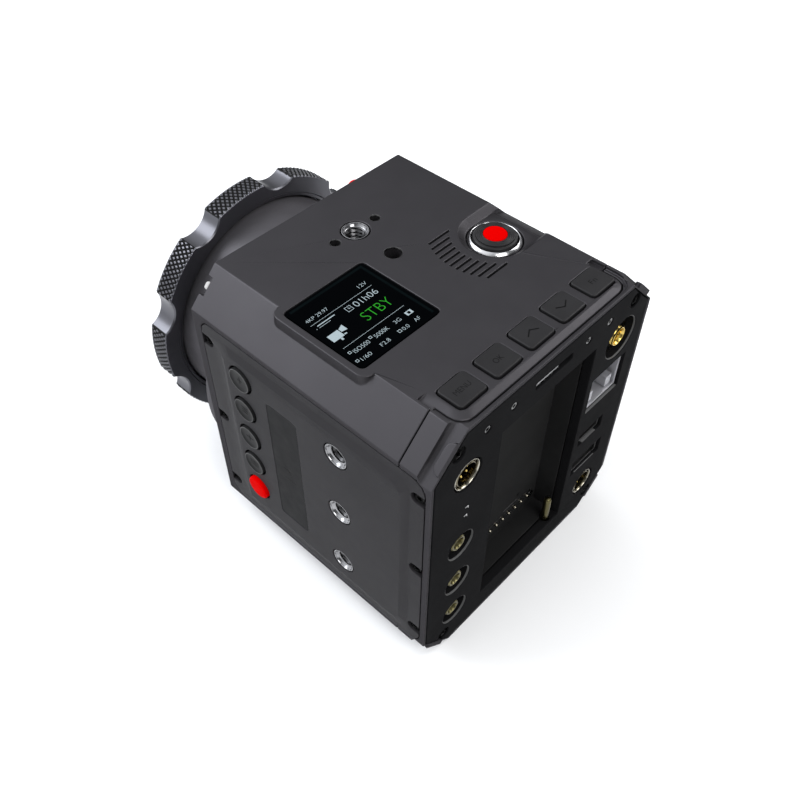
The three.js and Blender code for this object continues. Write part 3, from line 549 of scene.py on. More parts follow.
def locking_ring():
    box_low, box_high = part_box("locking_ring")
    front, rear = box_low.y / MM, box_high.y / MM
    outer = (box_high.x - box_low.x) / 2 / MM - 0.02
    scallop, reach, start = 8.0, 48.1, math.radians(22)
    sector = 2 * math.pi / SCALLOPS
    rows, chamfer = 32, 0.4

    def scallop_radius(angle):
        off = (angle - start + sector / 2) % sector - sector / 2
        inside = scallop**2 - (reach * math.sin(off)) ** 2
        return outer if inside <= 0 else min(outer, reach * math.cos(off) - math.sqrt(inside))

    rings = []
    for i in range(RING_COLUMNS):
        angle = 2 * math.pi * i / RING_COLUMNS
        radius = scallop_radius(angle)
        section = [(33.75, front + 0.15), (33.9, front), (radius - chamfer, front)]
        for row in range(rows + 1):
            y = front + chamfer + (rear - front - 2 * chamfer) * row / rows
            height = knurl(i / RING_COLUMNS, y)
            section.append((min(radius, outer - KNURL_DEPTH * (1 - height)), y))
        section += [
            (radius - chamfer, rear), (37.6, rear), (37.3, rear - 0.35), (36.5, rear - 0.35),
            (36.25, rear - 0.6), (36.25, -56.9), (33.75, -56.9),
        ]
        rings.append([
            Vector((r * math.cos(angle) * MM, y * MM, LENS_Z + r * math.sin(angle) * MM)) for r, y in section
        ])
    bm = bmesh.new()
    loft(bm, rings + [rings[0]], False, False)
    bmesh.ops.remove_doubles(bm, verts=bm.verts, dist=1e-7)
    # Faces sunk into the knurl's valleys take slot 1, the darker painted-shade material.
    for face in bm.faces:
        at = face.calc_center_median()
        depth = outer - math.hypot(at.x, at.z - LENS_Z) / MM
        in_valley_shade = 0.2 * KNURL_DEPTH < depth < 1.02 * KNURL_DEPTH
        if in_valley_shade and front + chamfer < at.y / MM < rear - chamfer:
            face.material_index = 1
    ring = finish_mesh("knurled_locking_ring", bm, RING, "locking_ring", ("locking_ring",), 28)
    ring.data.materials.append(KNURL_VALLEY_SHADE)


def mount_barrel():
    """The cast mount between the front wall and the ring: a wide foot, a concave flare and a cylinder."""
    foot = high("mount_barrel").y / MM
    tip = low("mount_barrel").y / MM
    base = (high("mount_barrel").x - low("mount_barrel").x) / 2 / MM - 0.05
    neck = 35.6
    flare = []
    for step in range(19):
        angle = math.pi / 2 * step / 18
        flare.append((neck + 8.6 * (1 - math.sin(angle)), foot - 2.8 - 17 * (1 - math.cos(angle))))
    profile = [
        (27.05, foot), (base - 0.3, foot), (base, foot - 0.3), (base, foot - 2.4), (base - 0.4, foot - 2.8),
    ]
    profile += flare + [(neck, tip + 0.3), (neck - 0.3, tip), (27.4, tip), (27.05, tip + 0.35)]
    for groove in range(8):
        y = tip + 2 + groove * 2.6
        profile += [(27.05, y), (27.05, y + 1.4), (27.9, y + 1.7), (27.9, y + 2.3)]
    place = facing((0, 0, LENS_Z), (0, 1, 0), (0, 0, 1))
    bm = bmesh.new()
    rings = [ring_points(place, r * MM, y * MM, 160) for r, y in profile]
    loft(bm, rings + [rings[0]], False, False)
    bmesh.ops.remove_doubles(bm, verts=bm.verts, dist=1e-7)
    finish_mesh("turned_mount_barrel", bm, BARREL, "camera_body", ("mount_barrel",), 40)


def mount_details():
    dress("mount_flange", STEEL, 0.15, 3)
    dress("lens_contacts", GOLD, 0.08, 2)
    face = low("mount_flange").y
    bm = bmesh.new()
    for angle in (30, 150, 210, 330):
        r = 31.2 * MM
        at = Vector((r * math.cos(math.radians(angle)), face, LENS_Z + r * math.sin(math.radians(angle))))
        screw(bm, facing(at, -Y, Z), 1.05, 0.05, 0.3)
    finish_mesh("flange_screws", bm, STEEL, "camera_body")
    dot = facing((0, face, LENS_Z + 31.2 * MM), -Y, Z)
    bm = bmesh.new()
    turn(bm, dot, rounded([(0.9, -0.2), (0.9, 0.06), (0.02, 0.06)], 0.06), 32)
    finish_mesh("alignment_dot", bm, RED, "camera_body")


# ---------------------------------------------------------------- top controls


def record_button():
    ring_low, ring_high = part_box("record_ring")
    at = Vector((centre("record_ring").x, centre("record_ring").y, 0))
    place = facing(at, Z, -Y)
    outer = (ring_high.x - ring_low.x) / 2 / MM
    top = ring_high.z / MM
    inner = (high("record_button").x - low("record_button").x) / 2 / MM
    foot = ring_low.z / MM
    bm = bmesh.new()
    profile = [
        (inner + 0.3, foot), (outer, foot), (outer, top - 1.15), (outer - 0.15, top - 0.85),
        (outer - 0.8, top - 0.12),
        (outer - 1.0, top), (outer - 1.12, top - 0.08), (inner + 0.3, top - 0.5),
    ]
    rings = [ring_points(place, r * MM, h * MM, 128) for r, h in profile]
    loft(bm, rings + [rings[0]], False, False)
    bmesh.ops.remove_doubles(bm, verts=bm.verts, dist=1e-7)
    finish_mesh("chrome_record_ring", bm, CHROME, "camera_body", ("record_ring",), 50)

    top = high("record_button").z / MM
    dot = (high("record_dot").x - low("record_dot").x) / 2 / MM
    profile = [(inner, foot + 1.5), (inner, top - 1.05), (inner - 0.25, top - 0.75), (inner - 0.75, top - 0.6)]
    for step in range(3):
        r = inner - 0.85 - step * 0.5
        profile += [(r, top - 0.25), (r - 0.2, top - 0.12), (r - 0.3, top - 0.12), (r - 0.45, top - 0.28)]
    profile += [(dot + 0.35, top - 0.05), (dot + 0.15, top - 0.1), (dot + 0.1, top - 0.5), (0.02, top - 0.5)]
    bm = bmesh.new()
    turn(bm, place, profile, 128)
    finish_mesh("ribbed_record_cap", bm, RUBBER, "record_button", ("record_button",), 40)

    top = high("record_dot").z / MM
    foot = low("record_dot").z / MM
    bm = bmesh.new()
    turn(bm, place, [
        (dot, foot), (dot, top - 0.25), (dot - 0.1, top - 0.14), (dot - 0.5, top - 0.08),
        (dot * 0.5, top - 0.02),
        (0.02, top),
    ], 96)
    finish_mesh("domed_record_dot", bm, RED, "record_button", ("record_dot",), 60)


KEYS = ("key_menu", "key_ok", "key_up", "key_down", "key_function")


def key_mark(node, place):
    """The faint symbol on a key: a word, or a chevron made of two bars."""
    if node == "key_menu":
        return write("MENU", place @ Matrix.Translation((0, -0.7 * MM, 0)), 1.5, 5.4, "CENTER")
    if node == "key_ok":
        return write("OK", place @ Matrix.Translation((0, -0.8 * MM, 0)), 1.6, 3.0, "CENTER")
    if node == "key_function":
        return write("Fn", place @ Matrix.Translation((0, -0.8 * MM, 0)), 1.6, 2.4, "CENTER")
    way = 1 if node == "key_up" else -1
    bars = []
    for side in (-1, 1):
        tilt = Matrix.Rotation(-side * way * math.radians(32), 4, "Z")
        arm = place @ Matrix.Translation((side * 1.05 * MM, 0, 0)) @ tilt
        bars.append(bar(arm, -1.3, 1.3, -0.16, 0.16, 0.03))
    return joined(bars)


def keys():
    for node in KEYS:
        dress(node, RUBBER, 0.42, 4)
        at = Vector((centre(node).x, centre(node).y, high(node).z + 0.012 * MM))
        finish_mesh(node + "_mark", key_mark(node, facing(at, Z, -Y)), MARK, node)


# ---------------------------------------------------------------- status display


def display():
    box_low, box_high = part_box("display_glass")
    middle = (box_low + box_high) / 2
    width, depth = (box_high.x - box_low.x) / MM, (box_high.y - box_low.y) / MM
    thick = (box_high.z - box_low.z) / MM
    place = facing((middle.x, middle.y, box_high.z), Z, -Y)
    bm = bmesh.new()
    outline_solid(bm, place, rounded_rect(width, depth, 1.2, 8), -thick, 0, 0.12)
    finish_mesh("display_glass_slab", bm, GLASS, "camera_body", ("display_glass",), 40)
    # Two lighter bars, on two edges only: a painted highlight of the recess bevel.
    border = place @ Matrix.Translation((-0.3 * MM, -0.2 * MM, 0))
    half_width, half_depth = width / 2 - 1.6, depth / 2 - 1.3
    line = 0.8
    border_bars = [
        (-half_width, half_width, half_depth, half_depth + line),
        (half_width, half_width + line, -half_depth, half_depth + line),
    ]
    finish_mesh(
        "display_bevel_highlight", joined([bar(border, *sides, 0.006) for sides in border_bars]), BEVEL_HIGHLIGHT,
        "camera_body",
    )
    screen(facing((middle.x, middle.y, box_high.z + 0.01 * MM), Z, -Y))


def hollow_square(place, half, line):
    inner = half - line
    sides = [
        (-half, half, inner, half), (-half, half, -half, -inner), (-half, -inner, -inner, inner),
        (inner, half, -inner, inner),
    ]
    return [bar(place, *side) for side in sides]


def screen(place):
    """A generic status page. Positions are mm from the middle of the glass, right and up as it is read."""
    at = lambda right, up: place @ Matrix.Translation((right * MM, up * MM, 0))
    words = [
        ("4KP 29.97", -12.3, 6.9, 1.15, 7.4), ("12V", 6.1, 6.9, 1.2, 2.9),
        ("01h06", 0.6, 2.3, 2.1, 8.0),
        ("ISO500", -11.3, -9.1, 1.3, 5.2), ("5000K", -4.1, -9.1, 1.3, 4.7), ("3G", 2.8, -9.1, 1.2, 2.2),
        ("1/60", -11.9, -12.2, 1.2, 3.3), ("F2.8", -5.2, -12.2, 1.2, 3.1),
        ("0.0", 2.6, -12.2, 1.2, 2.1), ("AF", 6.9, -12.2, 1.2, 1.9),
    ]
    parts = [write(text, at(x, y), size, width) for text, x, y, size, width in words]
    bars = [
        (-12.4, 9.2, 5.57, 5.65), (-12.4, 9.2, -5.85, -5.77), (-11.2, -5.3, 4.3, 4.6), (-11.2, -7.4, 3.6, 3.72),
        (-12.1, -11.95, 3.6, 3.8),
    ]
    parts += [bar(place, *sides) for sides in bars]
    clock = at(-1.2, 3.4)
    parts += hollow_square(clock, 0.95, 0.12)
    parts += [bar(clock, -0.08, 0.06, -0.1, 0.5), bar(clock, 0.06, 0.5, -0.1, 0.04)]
    camera = at(-9.4, -1.3)
    shapes = [(-2.9, 0.7, -1.4, 1.3), (-0.9, -0.3, -2.3, -1.5), (0.9, 1.7, -1.3, -0.9)]
    parts += [bar(camera, *sides) for sides in shapes]
    horn = bmesh.new()
    points = [(1.0, 0.0), (2.7, -0.3), (2.7, 1.9), (1.0, 1.2)]
    loft(horn, [[camera @ Vector((u * MM, v * MM, h * MM)) for u, v in points] for h in (-0.01, 0.02)])
    parts.append(horn)
    for right, up, half in ((-12.2, -7.9, 0.42), (-5.0, -7.8, 0.42), (-12.9, -11.2, 0.42), (1.6, -11.5, 0.5)):
        parts += hollow_square(at(right, up), half, 0.13)
    battery = at(8.3, -8.5)
    parts += [bar(battery, *sides) for sides in [
        (-1.2, 0.9, 0.45, 0.7), (-1.2, 0.9, -0.75, -0.5), (-1.2, -0.6, -0.5, 0.45), (0.3, 0.9, -0.5, 0.45),
    ]]
    finish_mesh("status_marks", joined(parts), LIT_WHITE, "camera_body")
    green = write("STBY", at(-1.2, -3.3), 3.3, 9.6, weight=-0.018)
    finish_mesh("status_word", green, LIT_GREEN, "camera_body")


# ---------------------------------------------------------------- side controls


def side_buttons():
    for node, material, slot in [(f"side_button_{i}", BUTTON, "dark_rubber") for i in (1, 2, 3, 4)] + [
        ("side_record_button", RED, "signal_red")
    ]:
        box_low, box_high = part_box(node)
        middle = centre(node)
        radius = (box_high.z - box_low.z) / 2 / MM
        length = (box_high.x - box_low.x) / MM
        place = facing((box_high.x, middle.y, middle.z), X, Z)
        if material is RED:
            top = [(radius, -0.55), (radius - 0.25, -0.18), (radius - 0.7, -0.05), (radius * 0.5, 0), (0.02, 0)]
        else:
            top = [
                (radius - 0.1, -0.25), (radius - 0.16, -0.06), (radius - 0.32, 0), (radius - 0.5, -0.05),
                (radius - 0.8, -0.2), (radius * 0.5, -0.3), (0.02, -0.32),
            ]
        stem = [(1.6, -length), (1.6, -length + 4.6), (radius - 0.1, -length + 4.6)]
        bm = bmesh.new()
        turn(bm, place, stem + top, 72)
        finish_mesh(node + "_cap", bm, material, node, (node,), 50)
        if material is BUTTON:
            # A thin lighter ring on the cap's rim: a painted highlight of the button's edge.
            bm = bmesh.new()
            section = [
                (radius - 0.42, -0.1), (radius - 0.38, 0.015), (radius - 0.28, 0.015), (radius - 0.24, -0.1),
            ]
            rings = [ring_points(place, r * MM, h * MM, 72) for r, h in section]
            loft(bm, rings + [rings[0]], False, False)
            bmesh.ops.remove_doubles(bm, verts=bm.verts, dist=1e-7)
            finish_mesh(node + "_edge", bm, EDGE_HIGHLIGHT, node)
    side_symbols()


def side_symbols():
    """A small plain line icon sunk into each dark button."""
    for index in (1, 2, 3, 4):
        node = f"side_button_{index}"
        middle = centre(node)
        place = facing((high(node).x - 0.29 * MM, middle.y, middle.z), X, Z)
        half = 0.6 + 0.3 * index
        parts = [bar(place, -half, half, -0.16, 0.16, 0.03)]
        if index % 2:
            parts.append(bar(place, -0.16, 0.16, -1.2, 1.2, 0.03))
        else:
            parts.append(bar(place, -half, half, 0.75, 1.05, 0.03))
            parts.append(bar(place, -half, half, -1.05, -0.75, 0.03))
        finish_mesh(node + "_icon", joined(parts), MARK, node)


def front_button():
    box_low, box_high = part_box("front_record_button")
    radius = (box_high.x - box_low.x) / 2 / MM
    length = (box_high.y - box_low.y) / MM
    middle = centre("front_record_button")
    place = facing((middle.x, box_low.y, middle.z), -Y, Z)
    bm = bmesh.new()
    turn(bm, place, [
        (radius, -length), (radius, -0.5), (radius - 0.2, -0.15), (radius - 0.6, -0.02), (0.02, 0),
    ], 64)
    finish_mesh("front_button_cap", bm, RED, "front_record_button", ("front_record_button",), 50)


# ---------------------------------------------------------------- threaded inserts


THREAD_HEIGHT = 0.5


def insert(node, out, pitch=1.27, bore=3.0):
    """A steel insert with a real helical thread inside and a countersunk mouth."""
    box_low, box_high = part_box(node)
    size = box_high - box_low
    axis = Vector(out)
    along = max(abs(size.dot(axis)), 1e-6) / MM
    middle = (box_low + box_high) / 2
    spread_size = [s for s, a in zip(size, axis) if abs(a) < 0.5]
    radius = max(spread_size) / 2 / MM - 0.02
    place = facing(middle + axis * along / 2 * MM, out, Z if abs(axis.z) < 0.5 else Y)
    sides = 96
    mouth = [
        (bore, -along), (radius, -along), (radius, -0.3), (radius - 0.08, -0.05), (radius - 0.22, 0),
        (radius - 0.34, -0.05), (radius - 0.42, -0.28), (radius - 0.55, -0.3), (bore + 0.1, -0.85),
        (bore, -0.95),
    ]
    rings = [ring_points(place, r * MM, h * MM, sides) for r, h in mouth]
    rows = int((along - 1.2) / pitch * 10)
    for row in range(rows):
        depth = 1.05 + (along - 1.3) * row / rows
        ring = []
        for i in range(sides):
            angle = 2 * math.pi * i / sides
            wave = abs(2 * ((depth / pitch + i / sides) % 1) - 1)
            r = (bore - THREAD_HEIGHT + THREAD_HEIGHT * wave) * MM
            ring.append(place @ Vector((r * math.cos(angle), r * math.sin(angle), -depth * MM)))
        rings.append(ring)
    bm = bmesh.new()
    loft(bm, rings + [rings[0]], False, False)
    bmesh.ops.remove_doubles(bm, verts=bm.verts, dist=1e-7)
    # Faces more than 1 mm down the bore take slot 1, the darker painted-shade steel.
    outward = place.inverted()
    for face in bm.faces:
        at = outward @ face.calc_center_median()
        if at.z < -1.0 * MM and math.hypot(at.x, at.y) < bore * MM:
            face.material_index = 1
    body = finish_mesh(node + "_threaded", bm, STEEL, "camera_body", (node,), 40)
    body.data.materials.append(SHADED_THREAD)


# x, mm from the rear face, and radius
TOP_HOLES = ((0, -54.9, 2.5), (7.75, -69.3, 1.5), (-7.75, -69.3, 1.5))


def hole_rims():
    """A bright countersink ring just inside each plain hole in the top: a painted highlight of the hole's rim,
    in a metal lighter than the shell.
    """
    for index, (x, y, radius) in enumerate(TOP_HOLES):
        place = facing((x * MM, REAR + y * MM, TOP), Z, -Y)
        revolved(f"hole_rim_{index}", place, [
            (radius - 0.12, -0.5), (radius - 0.1, -0.3), (radius + 0.04, 0.012), (radius + 0.1, 0.012),
            (radius + 0.1, -0.5),
        ], WORN_SCREW_AND_HIGHLIGHT)


def inserts():
    hole_rims()
    insert("top_insert", (0, 0, 1))
    for index in (1, 2, 3):
        insert(f"side_insert_{index}", (1, 0, 0))
    insert("base_insert_small", (0, 0, -1))
    insert("base_insert_large", (0, 0, -1), 1.59, 4.3)


# ---------------------------------------------------------------- rear sockets


def revolved(name, place, profile, material, replaces=(), sides=72, smooth=40):
    bm = bmesh.new()
    rings = [ring_points(place, r * MM, h * MM, sides) for r, h in profile]
    loft(bm, rings + [rings[0]], False, False)
    bmesh.ops.remove_doubles(bm, verts=bm.verts, dist=1e-7)
    return finish_mesh(name, bm, material, "camera_body", replaces, smooth)


def round_socket(node, pins):
    """A push-pull socket: a nickel nut darkened with painted shade, its rolled lip lightened by a painted
    highlight ring, a black insulator and gilt pins.
    """
    middle = centre(node)
    face = high(node).y
    place = facing((middle.x, face, middle.z), Y, Z)
    length = (face - low(node).y) / MM
    revolved(node + "_shell", place, [
        (3.3, -6), (3.3, -0.6), (3.4, -0.2), (3.6, -0.3), (4.0, -0.95), (4.2, -0.95), (4.35, -0.2),
        (4.5, -0.05),
        (4.65, -0.15), (4.75, -0.5), (4.75, -3.9),
        (4.0, -3.9), (4.0, -length), (3.0, -length), (3.0, -6),
    ], SHADED_NICKEL, (node,), 96, 45)
    revolved(node + "_lip", place, [
        (4.32, -0.4), (4.36, -0.08), (4.46, 0.02), (4.58, 0.02), (4.7, -0.12), (4.74, -0.4),
    ], HIGHLIGHT_RIM, (), 96, 45)
    bm = bmesh.new()
    turn(bm, place, rounded([(3.2, -length + 0.5), (3.2, -4.4), (2.8, -4.0), (0.02, -4.0)], 0.15), 48)
    finish_mesh(node + "_insulator", bm, INSULATOR, "camera_body")
    bm = bmesh.new()
    for index in range(pins):
        angle = 2 * math.pi * (index + 0.5) / pins
        pin = place @ Matrix.Translation((1.75 * MM * math.cos(angle), 1.75 * MM * math.sin(angle), 0))
        turn(bm, pin, rounded([(0.42, -4.4), (0.42, -1.6), (0.28, -1.3), (0.02, -1.2)], 0.1), 20)
    finish_mesh(node + "_pins", bm, GOLD, "camera_body")


def coaxial_jack(node):
    middle = centre(node)
    face = high(node).y
    place = facing((middle.x, face, middle.z), Y, Z)
    length = (face - low(node).y) / MM
    revolved(node + "_barrel", place, [
        (1.75, -length + 1), (1.75, 0.3), (2.0, 0.75), (2.4, 0.8), (2.7, 0.5), (2.75, -0.5),
        (2.5, -0.7), (2.5, -2.0),
        (2.9, -2.2), (4.7, -2.6), (4.7, -2.75), (4.0, -2.75), (4.0, -length), (1.4, -length),
    ], SHADED_BRASS, (node,), 72, 40)
    revolved(node + "_collar", place, [
        (3.7, -2.5), (3.7, -1.5), (3.9, -1.3), (4.6, -1.3), (4.75, -1.5), (4.75, -2.5),
    ], INSULATOR)
    # A thin lighter ring round the jack's recess: a painted highlight of the recess edge.
    revolved(node + "_rim", place, [
        (4.98, 0.9), (5.04, 1.46), (5.14, 1.46), (5.16, 0.9),
    ], EDGE_HIGHLIGHT)
    bm = bmesh.new()
    turn(bm, place, rounded([(0.45, -length + 2), (0.45, -3.2), (0.02, -3.0)], 0.1), 20)
    turn(bm, place, [(1.7, -length + 1.5), (1.7, -7.0), (0.02, -7.0)], 32)
    finish_mesh(node + "_pin", bm, SHADED_BRASS, "camera_body")


def antenna_socket():
    node = "antenna_socket"
    middle = centre(node)
    face = high(node).y
    place = facing((middle.x, face, middle.z), Y, Z)
    length = (face - low(node).y) / MM
    thread = []
    steps = 12
    for i in range(steps * 2):
        depth = 0.5 + i * 0.17
        thread.append((3.05 if i % 2 else 2.92, -depth))
    profile = [(2.2, -3.2), (2.2, -0.9), (2.65, -0.06), (2.78, 0), (2.92, -0.1)] + thread + [
        (2.9, -4.9), (6.5, -4.9), (6.55, -5.1), (6.55, -6.3), (3.0, -6.3), (3.0, -length),
        (0.9, -length), (0.9, -3.2),
    ]
    revolved("threaded_antenna_socket", place, profile, GOLD, (node,), 72, 30)
    bm = bmesh.new()
    turn(bm, place, [(2.15, -4), (2.15, -1.3), (1.2, -1.6), (0.02, -1.7)], 48)
    finish_mesh("antenna_dielectric", bm, GOLD, "camera_body")
    bm = bmesh.new()
    turn(bm, place, rounded([(0.4, -4), (0.4, -1.2), (0.02, -1.1)], 0.12), 20)
    finish_mesh("antenna_pin", bm, GOLD, "camera_body")
    # A thin lighter ring round the antenna's recess: a painted highlight of its edge.
    rim = facing((middle.x, REAR, middle.z), Y, Z)
    revolved("antenna_recess_highlight", rim, [
        (6.8, -0.6), (6.86, -0.16), (6.96, -0.16), (6.98, -0.6),
    ], EDGE_HIGHLIGHT)


def box_mesh(bm, place, x0, x1, y0, y1, z0, z1, edge=0.08):
    """A small block in a local frame, mm, with its top edges eased."""
    def level(h, inset):
        return [
            place @ Vector((u * MM, v * MM, h * MM))
            for u, v in [
                (x0 + inset, y0 + inset), (x1 - inset, y0 + inset),
                (x1 - inset, y1 - inset), (x0 + inset, y1 - inset),
            ]
        ]
    loft(bm, [level(z0, 0), level(z1 - edge, 0), level(z1, edge)])


def data_sockets():
    dress("ethernet_jack", TIN, 0.1, 2)
    # The USB and HDMI shells take the darkened tin: painted shade.
    dress("usb_port", SHADED_TIN, 0.1, 2)
    dress("hdmi_port", SHADED_TIN, 0.1, 2)
    # Lighter sills on the lower wall of each opening: painted highlights of the lit lips.
    sills = (("usb_port", 0.6, 1.1), ("hdmi_port", 0.72, 0.35), ("ethernet_jack", 1.0, 0.8))
    for node, share, depth in sills:
        box_low, box_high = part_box(node)
        sill = facing(((box_low.x + box_high.x) / 2, REAR, box_low.z - 0.3 * MM), Z, -Y)
        half = (box_high.x - box_low.x) / 2 / MM * share
        strip = bar(sill, -half, half, 0.05, depth, 0.06)
        finish_mesh(node + "_sill", strip, EDGE_HIGHLIGHT, "camera_body")
    middle = centre("ethernet_jack")
    place = facing((middle.x, REAR, middle.z), Y, Z)
    bm = bmesh.new()
    for index in range(8):
        x = -3.57 + index * 1.02
        box_mesh(bm, place, x - 0.22, x + 0.22, 2.4, 3.6, -14, -4.5)
    finish_mesh("network_contacts", bm, GOLD, "camera_body")
    bm = bmesh.new()
    box_mesh(bm, place, -6.2, -3.4, -5.4, -1.6, -14.5, -1.6)
    box_mesh(bm, place, 3.4, 6.2, -5.4, -1.6, -14.5, -1.6)
    box_mesh(bm, place, -6.3, 6.3, 3.7, 5.2, -15, -2.4)
    finish_mesh("network_keyway", bm, TIN, "camera_body")


def rear_screws():
    """Cap screws in the rear panel's small holes and in the chamfered corners' seats."""
    worn, dark = bmesh.new(), bmesh.new()
    for x in (26, 16, -14.7, -24.4):
        screw(worn, facing((x * MM, REAR, 92.2 * MM), Y, Z), 1.15, -0.25, 0.9)
    for x in (36.3, -36.3):
        for z in (6.9, 92.1):
            screw(dark, facing((x * MM, REAR, z * MM), Y, Z), 2.25, -0.3, 0.85)
    finish_mesh("rear_small_screws", worn, WORN_SCREW_AND_HIGHLIGHT, "camera_body")
    finish_mesh("rear_corner_screws", dark, SCREW, "camera_body")


def rear_marks():
    """Pale marks along two edges of two tiny indicator windows above the first jack: painted highlights."""
    parts = []
    for x, z in ((31.3, 66.5), (31.5, 63.0)):
        place = facing((x * MM, REAR, z * MM), Y, Z)
        parts += [bar(place, -0.65, 0.65, 0.3, 0.5), bar(place, 0.45, 0.65, -0.5, 0.3)]
    finish_mesh("rear_window_highlights", joined(parts), PALE_HIGHLIGHT, "camera_body")


def bay_details():
    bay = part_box("battery_contacts")
    first = (bay[0].x + 1.7 * MM, bay[1].z - 1.4 * MM)
    bm = bmesh.new()
    block = bmesh.new()
    place = facing((0, bay[1].y, 0), Y, Z)
    for index in range(7):
        x = (first[0] + index * 3.15 * MM) / MM
        z = first[1] / MM
        pin = place @ Matrix.Translation((-x * MM, z * MM, 0))
        head = [(0.6, -2.2), (0.6, -1.1), (0.5, -0.75), (0.3, -0.45), (0.02, -0.4)]
        turn(bm, pin, rounded(head, 0.1), 24)
    low_z, high_z = bay[0].z / MM, bay[1].z / MM
    block_middle = (-(bay[0].x + bay[1].x) / 2 / MM, (low_z + high_z) / 2)
    outline = rounded_rect((bay[1].x - bay[0].x) / MM, high_z - low_z, 0.5, 4, block_middle)
    outline_solid(block, place, outline, -4.6, -1.4, 0.1)
    finish_mesh("contact_pins", bm, NICKEL, "camera_body", ("battery_contacts",))
    finish_mesh("contact_block", block, INSULATOR, "camera_body")
    pin_low, pin_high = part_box("battery_latch_pin")
    radius = (pin_high.x - pin_low.x) / 2 / MM
    length = (pin_high.z - pin_low.z) / MM
    at = (centre("battery_latch_pin").x, centre("battery_latch_pin").y, pin_high.z)
    # The latch pin takes the darkened brass: painted shade for its place inside the bay.
    bm = bmesh.new()
    turn(bm, facing(at, Z, -Y), [
        (radius, -length), (radius, -1.3), (radius - 0.08, -0.8), (radius - 0.3, -0.35), (radius - 0.7, -0.08),
        (0.02, 0),
    ], 48)
    bay_marks()
    finish_mesh("gilt_latch_pin", bm, SHADED_BRASS, "battery_latch_pin", ("battery_latch_pin",), 60)


def bay_marks():
    """On the bay's back wall: a light line over the contacts, a painted highlight of a fine edge; a dark patch,
    painted shade of a small key slot; and a screw beside them.
    """
    wall = facing((0, low("battery_tray").y + 2 * MM, 0), Y, Z)
    finish_mesh("bay_slot_highlight", bar(wall, 2.9, 9.6, 19.0, 19.16, 0.05), EDGE_HIGHLIGHT, "camera_body")
    finish_mesh("bay_key_slot_shade", bar(wall, 9.4, 10.8, 20.6, 21.8, 0.02), MARK, "camera_body")
    bm = bmesh.new()
    screw(bm, wall @ Matrix.Translation((17.3 * MM, 14.4 * MM, 0)), 1.5, 0.3, 0.4)
    finish_mesh("bay_screw", bm, SCREW, "camera_body")


def sockets():
    round_socket("audio_socket", 5)
    round_socket("power_socket", 2)
    for index in (1, 2, 3):
        coaxial_jack(f"jack_{index}")
    antenna_socket()
    data_sockets()
    rear_screws()
    rear_marks()
    bay_details()


# ---------------------------------------------------------------- screws on the side covers


def cover_screws():
    seat_rows = (18.8, 49.7, 80.6)
    for name, sign in (("left", 1), ("right", -1)):
        node = f"{name}_cover"
        face = sign * high("main_shell").x
        bm = bmesh.new()
        for z in seat_rows:
            for y in (high(node).y - 2.0 * MM, low(node).y + 2.0 * MM):
                screw(bm, facing((face, y, z * MM), (sign, 0, 0), Z), 1.5, -0.45, 0.9)
        finish_mesh(f"{name}_cover_screws", bm, SCREW, "camera_body")


# ---------------------------------------------------------------- inner parts


def populate(name, board, out, up, seed, count, tall):
    """Chips and small components on a board's face."""
    box_low, box_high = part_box(board)
    middle = (box_low + box_high) / 2
    axis = Vector(out)
    face = middle + Vector([a * s / 2 for a, s in zip(axis, box_high - box_low)])
    place = facing(face, out, up)
    size = box_high - box_low
    width = abs((place.to_3x3() @ X).dot(size)) / MM / 2 - 3
    height = abs((place.to_3x3() @ Y).dot(size)) / MM / 2 - 3
    rng = random.Random(seed)
    taken = []
    bm = bmesh.new()
    for index in range(count):
        if index < 4:
            w, h = rng.uniform(4, 9), rng.uniform(4, 9)
        else:
            w, h = rng.uniform(0.8, 2.4), rng.uniform(0.6, 1.6)
        for attempt in range(20):
            x, y = rng.uniform(-width + w / 2, width - w / 2), rng.uniform(-height + h / 2, height - h / 2)
            clear = [abs(x - a) > (w + c) / 2 + 0.3 or abs(y - b) > (h + d) / 2 + 0.3 for a, b, c, d in taken]
            if all(clear):
                taken.append((x, y, w, h))
                box_mesh(bm, place, x - w / 2, x + w / 2, y - h / 2, y + h / 2, 0.01, rng.uniform(0.3, tall))
                break
    finish_mesh(name, bm, CHIP, "camera_body")


def inner_parts():
    dress("sensor_block", TRAY, 0.4, 2)
    dress("sensor_board", BOARD, 0.1, 2)
    dress("main_board", BOARD, 0.1, 2)
    dress("key_board", BOARD, 0.1, 2)
    dress("heatsink", ALLOY, 0.15, 2)
    dress("fan_housing", TRAY, 0.2, 2)
    dress("fan_rotor", CHIP, 0.1, 2)
    dress("card_slot", TIN, 0.15, 2)
    dress("microphone", TIN, 0.2, 2)
    dress("sensor_window", SENSOR, 0.15, 2)
    populate("main_board_parts", "main_board", (0, -1, 0), (0, 0, 1), 7, 70, 1.6)


panels()
locking_ring()
mount_barrel()
mount_details()
record_button()
keys()
display()
side_buttons()
front_button()
inserts()
sockets()
cover_screws()
inner_parts()

# ---------------------------------------------------------------- studio

KEY_DIRECTION = Vector((0.42, -0.64, 0.64)).normalized()
ROOM_DIM, ROOM_BRIGHT = 0.22, 1.5


def area_light(name, at, target, size, power, color=(1, 1, 1)):
    light = bpy.data.lights.new(name, "AREA")
    light.shape = "RECTANGLE"
    light.size, light.size_y = size
    light.energy = power
    light.color = color
    lamp = bpy.data.objects.new(name, light)
    lamp.location = at
    lamp.rotation_euler = (Vector(target) - Vector(at)).to_track_quat("-Z", "Y").to_euler()
    bpy.context.scene.collection.objects.link(lamp)


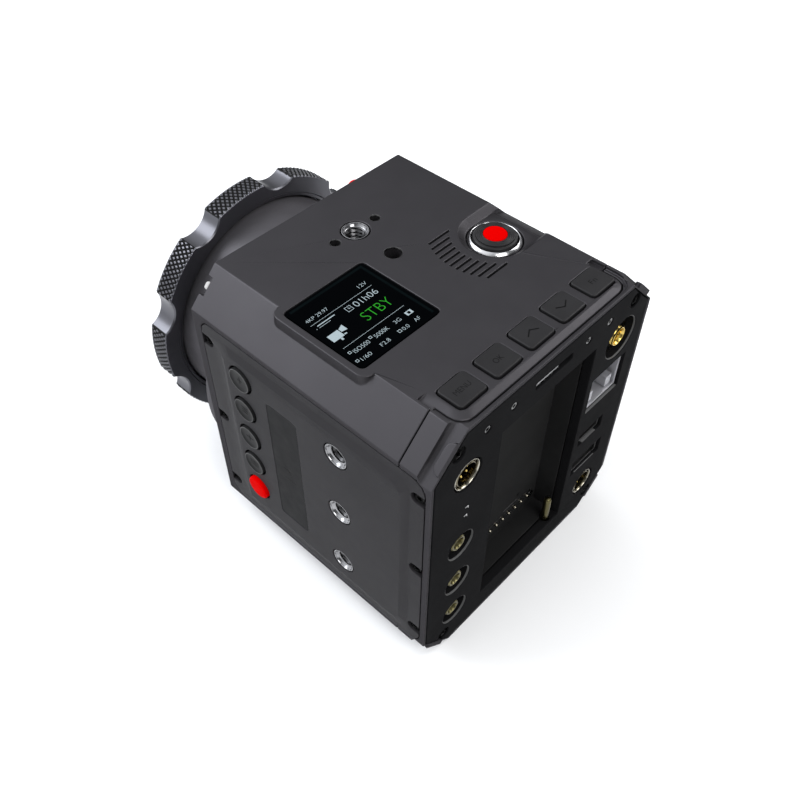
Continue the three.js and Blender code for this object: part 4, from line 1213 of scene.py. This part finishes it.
def floor():
    bm = bmesh.new()
    bmesh.ops.create_grid(bm, x_segments=8, y_segments=8, size=3)
    mesh = bpy.data.meshes.new("floor")
    bm.to_mesh(mesh)
    bm.free()
    material, shader, tree = blank("pale_floor", (0.9, 0.9, 0.9), 0.9)
    tint(tree, shader, noise(tree, 60.0, 1.0), (0.9, 0.9, 0.9), (0.92, 0.92, 0.92))
    mesh.materials.append(material)
    ground = bpy.data.objects.new("floor", mesh)
    bpy.context.scene.collection.objects.link(ground)


def studio():
    """A dim room, brighter high up at the front left, with one large soft key light there."""
    world = bpy.data.worlds.new("studio")
    bpy.context.scene.world = world
    world.use_nodes = True
    tree = world.node_tree
    place = add(tree, "ShaderNodeTexCoord")
    toward = add(tree, "ShaderNodeVectorMath", operation="DOT_PRODUCT")
    toward.inputs[1].default_value = KEY_DIRECTION
    curve = add(tree, "ShaderNodeMapRange", interpolation_type="SMOOTHERSTEP")
    curve.inputs["From Min"].default_value = 0.1
    curve.inputs["From Max"].default_value = 1.0
    curve.inputs["To Min"].default_value = ROOM_DIM
    curve.inputs["To Max"].default_value = ROOM_BRIGHT
    tree.links.new(place.outputs["Generated"], toward.inputs[0])
    tree.links.new(toward.outputs["Value"], curve.inputs["Value"])
    tree.links.new(curve.outputs["Result"], tree.nodes["Background"].inputs["Strength"])
    tree.nodes["Background"].inputs["Color"].default_value = (0.95, 0.97, 1.0, 1)
    middle = Vector((0, 0, 0.05))
    area_light("key", middle + KEY_DIRECTION * 0.9, middle, (0.55, 0.55), 5.0, (0.93, 0.96, 1.0))
    area_light("rear_fill", (0.2, 0.8, 0.8), middle, (0.6, 0.6), 6.0)
    area_light("right_fill", (-0.8, 0.3, 0.7), middle, (0.6, 0.6), 6.0)
    bpy.context.scene.view_settings.view_transform = "Standard"


def camera():
    data = bpy.data.cameras.new("camera")
    data.lens, data.sensor_width = 39.93, 36.0
    eye = Vector((0.1378, 0.1347, 0.2499))
    target = Vector((0.0048, 0.0122, 0.0493))
    item = bpy.data.objects.new("camera", data)
    roll = Matrix.Rotation(math.radians(0.5), 4, "Z")
    item.matrix_world = (
        Matrix.Translation(eye) @ (target - eye).to_track_quat("-Z", "Y").to_matrix().to_4x4() @ roll
    )
    bpy.context.scene.collection.objects.link(item)
    bpy.context.scene.camera = item


floor()
studio()
camera()
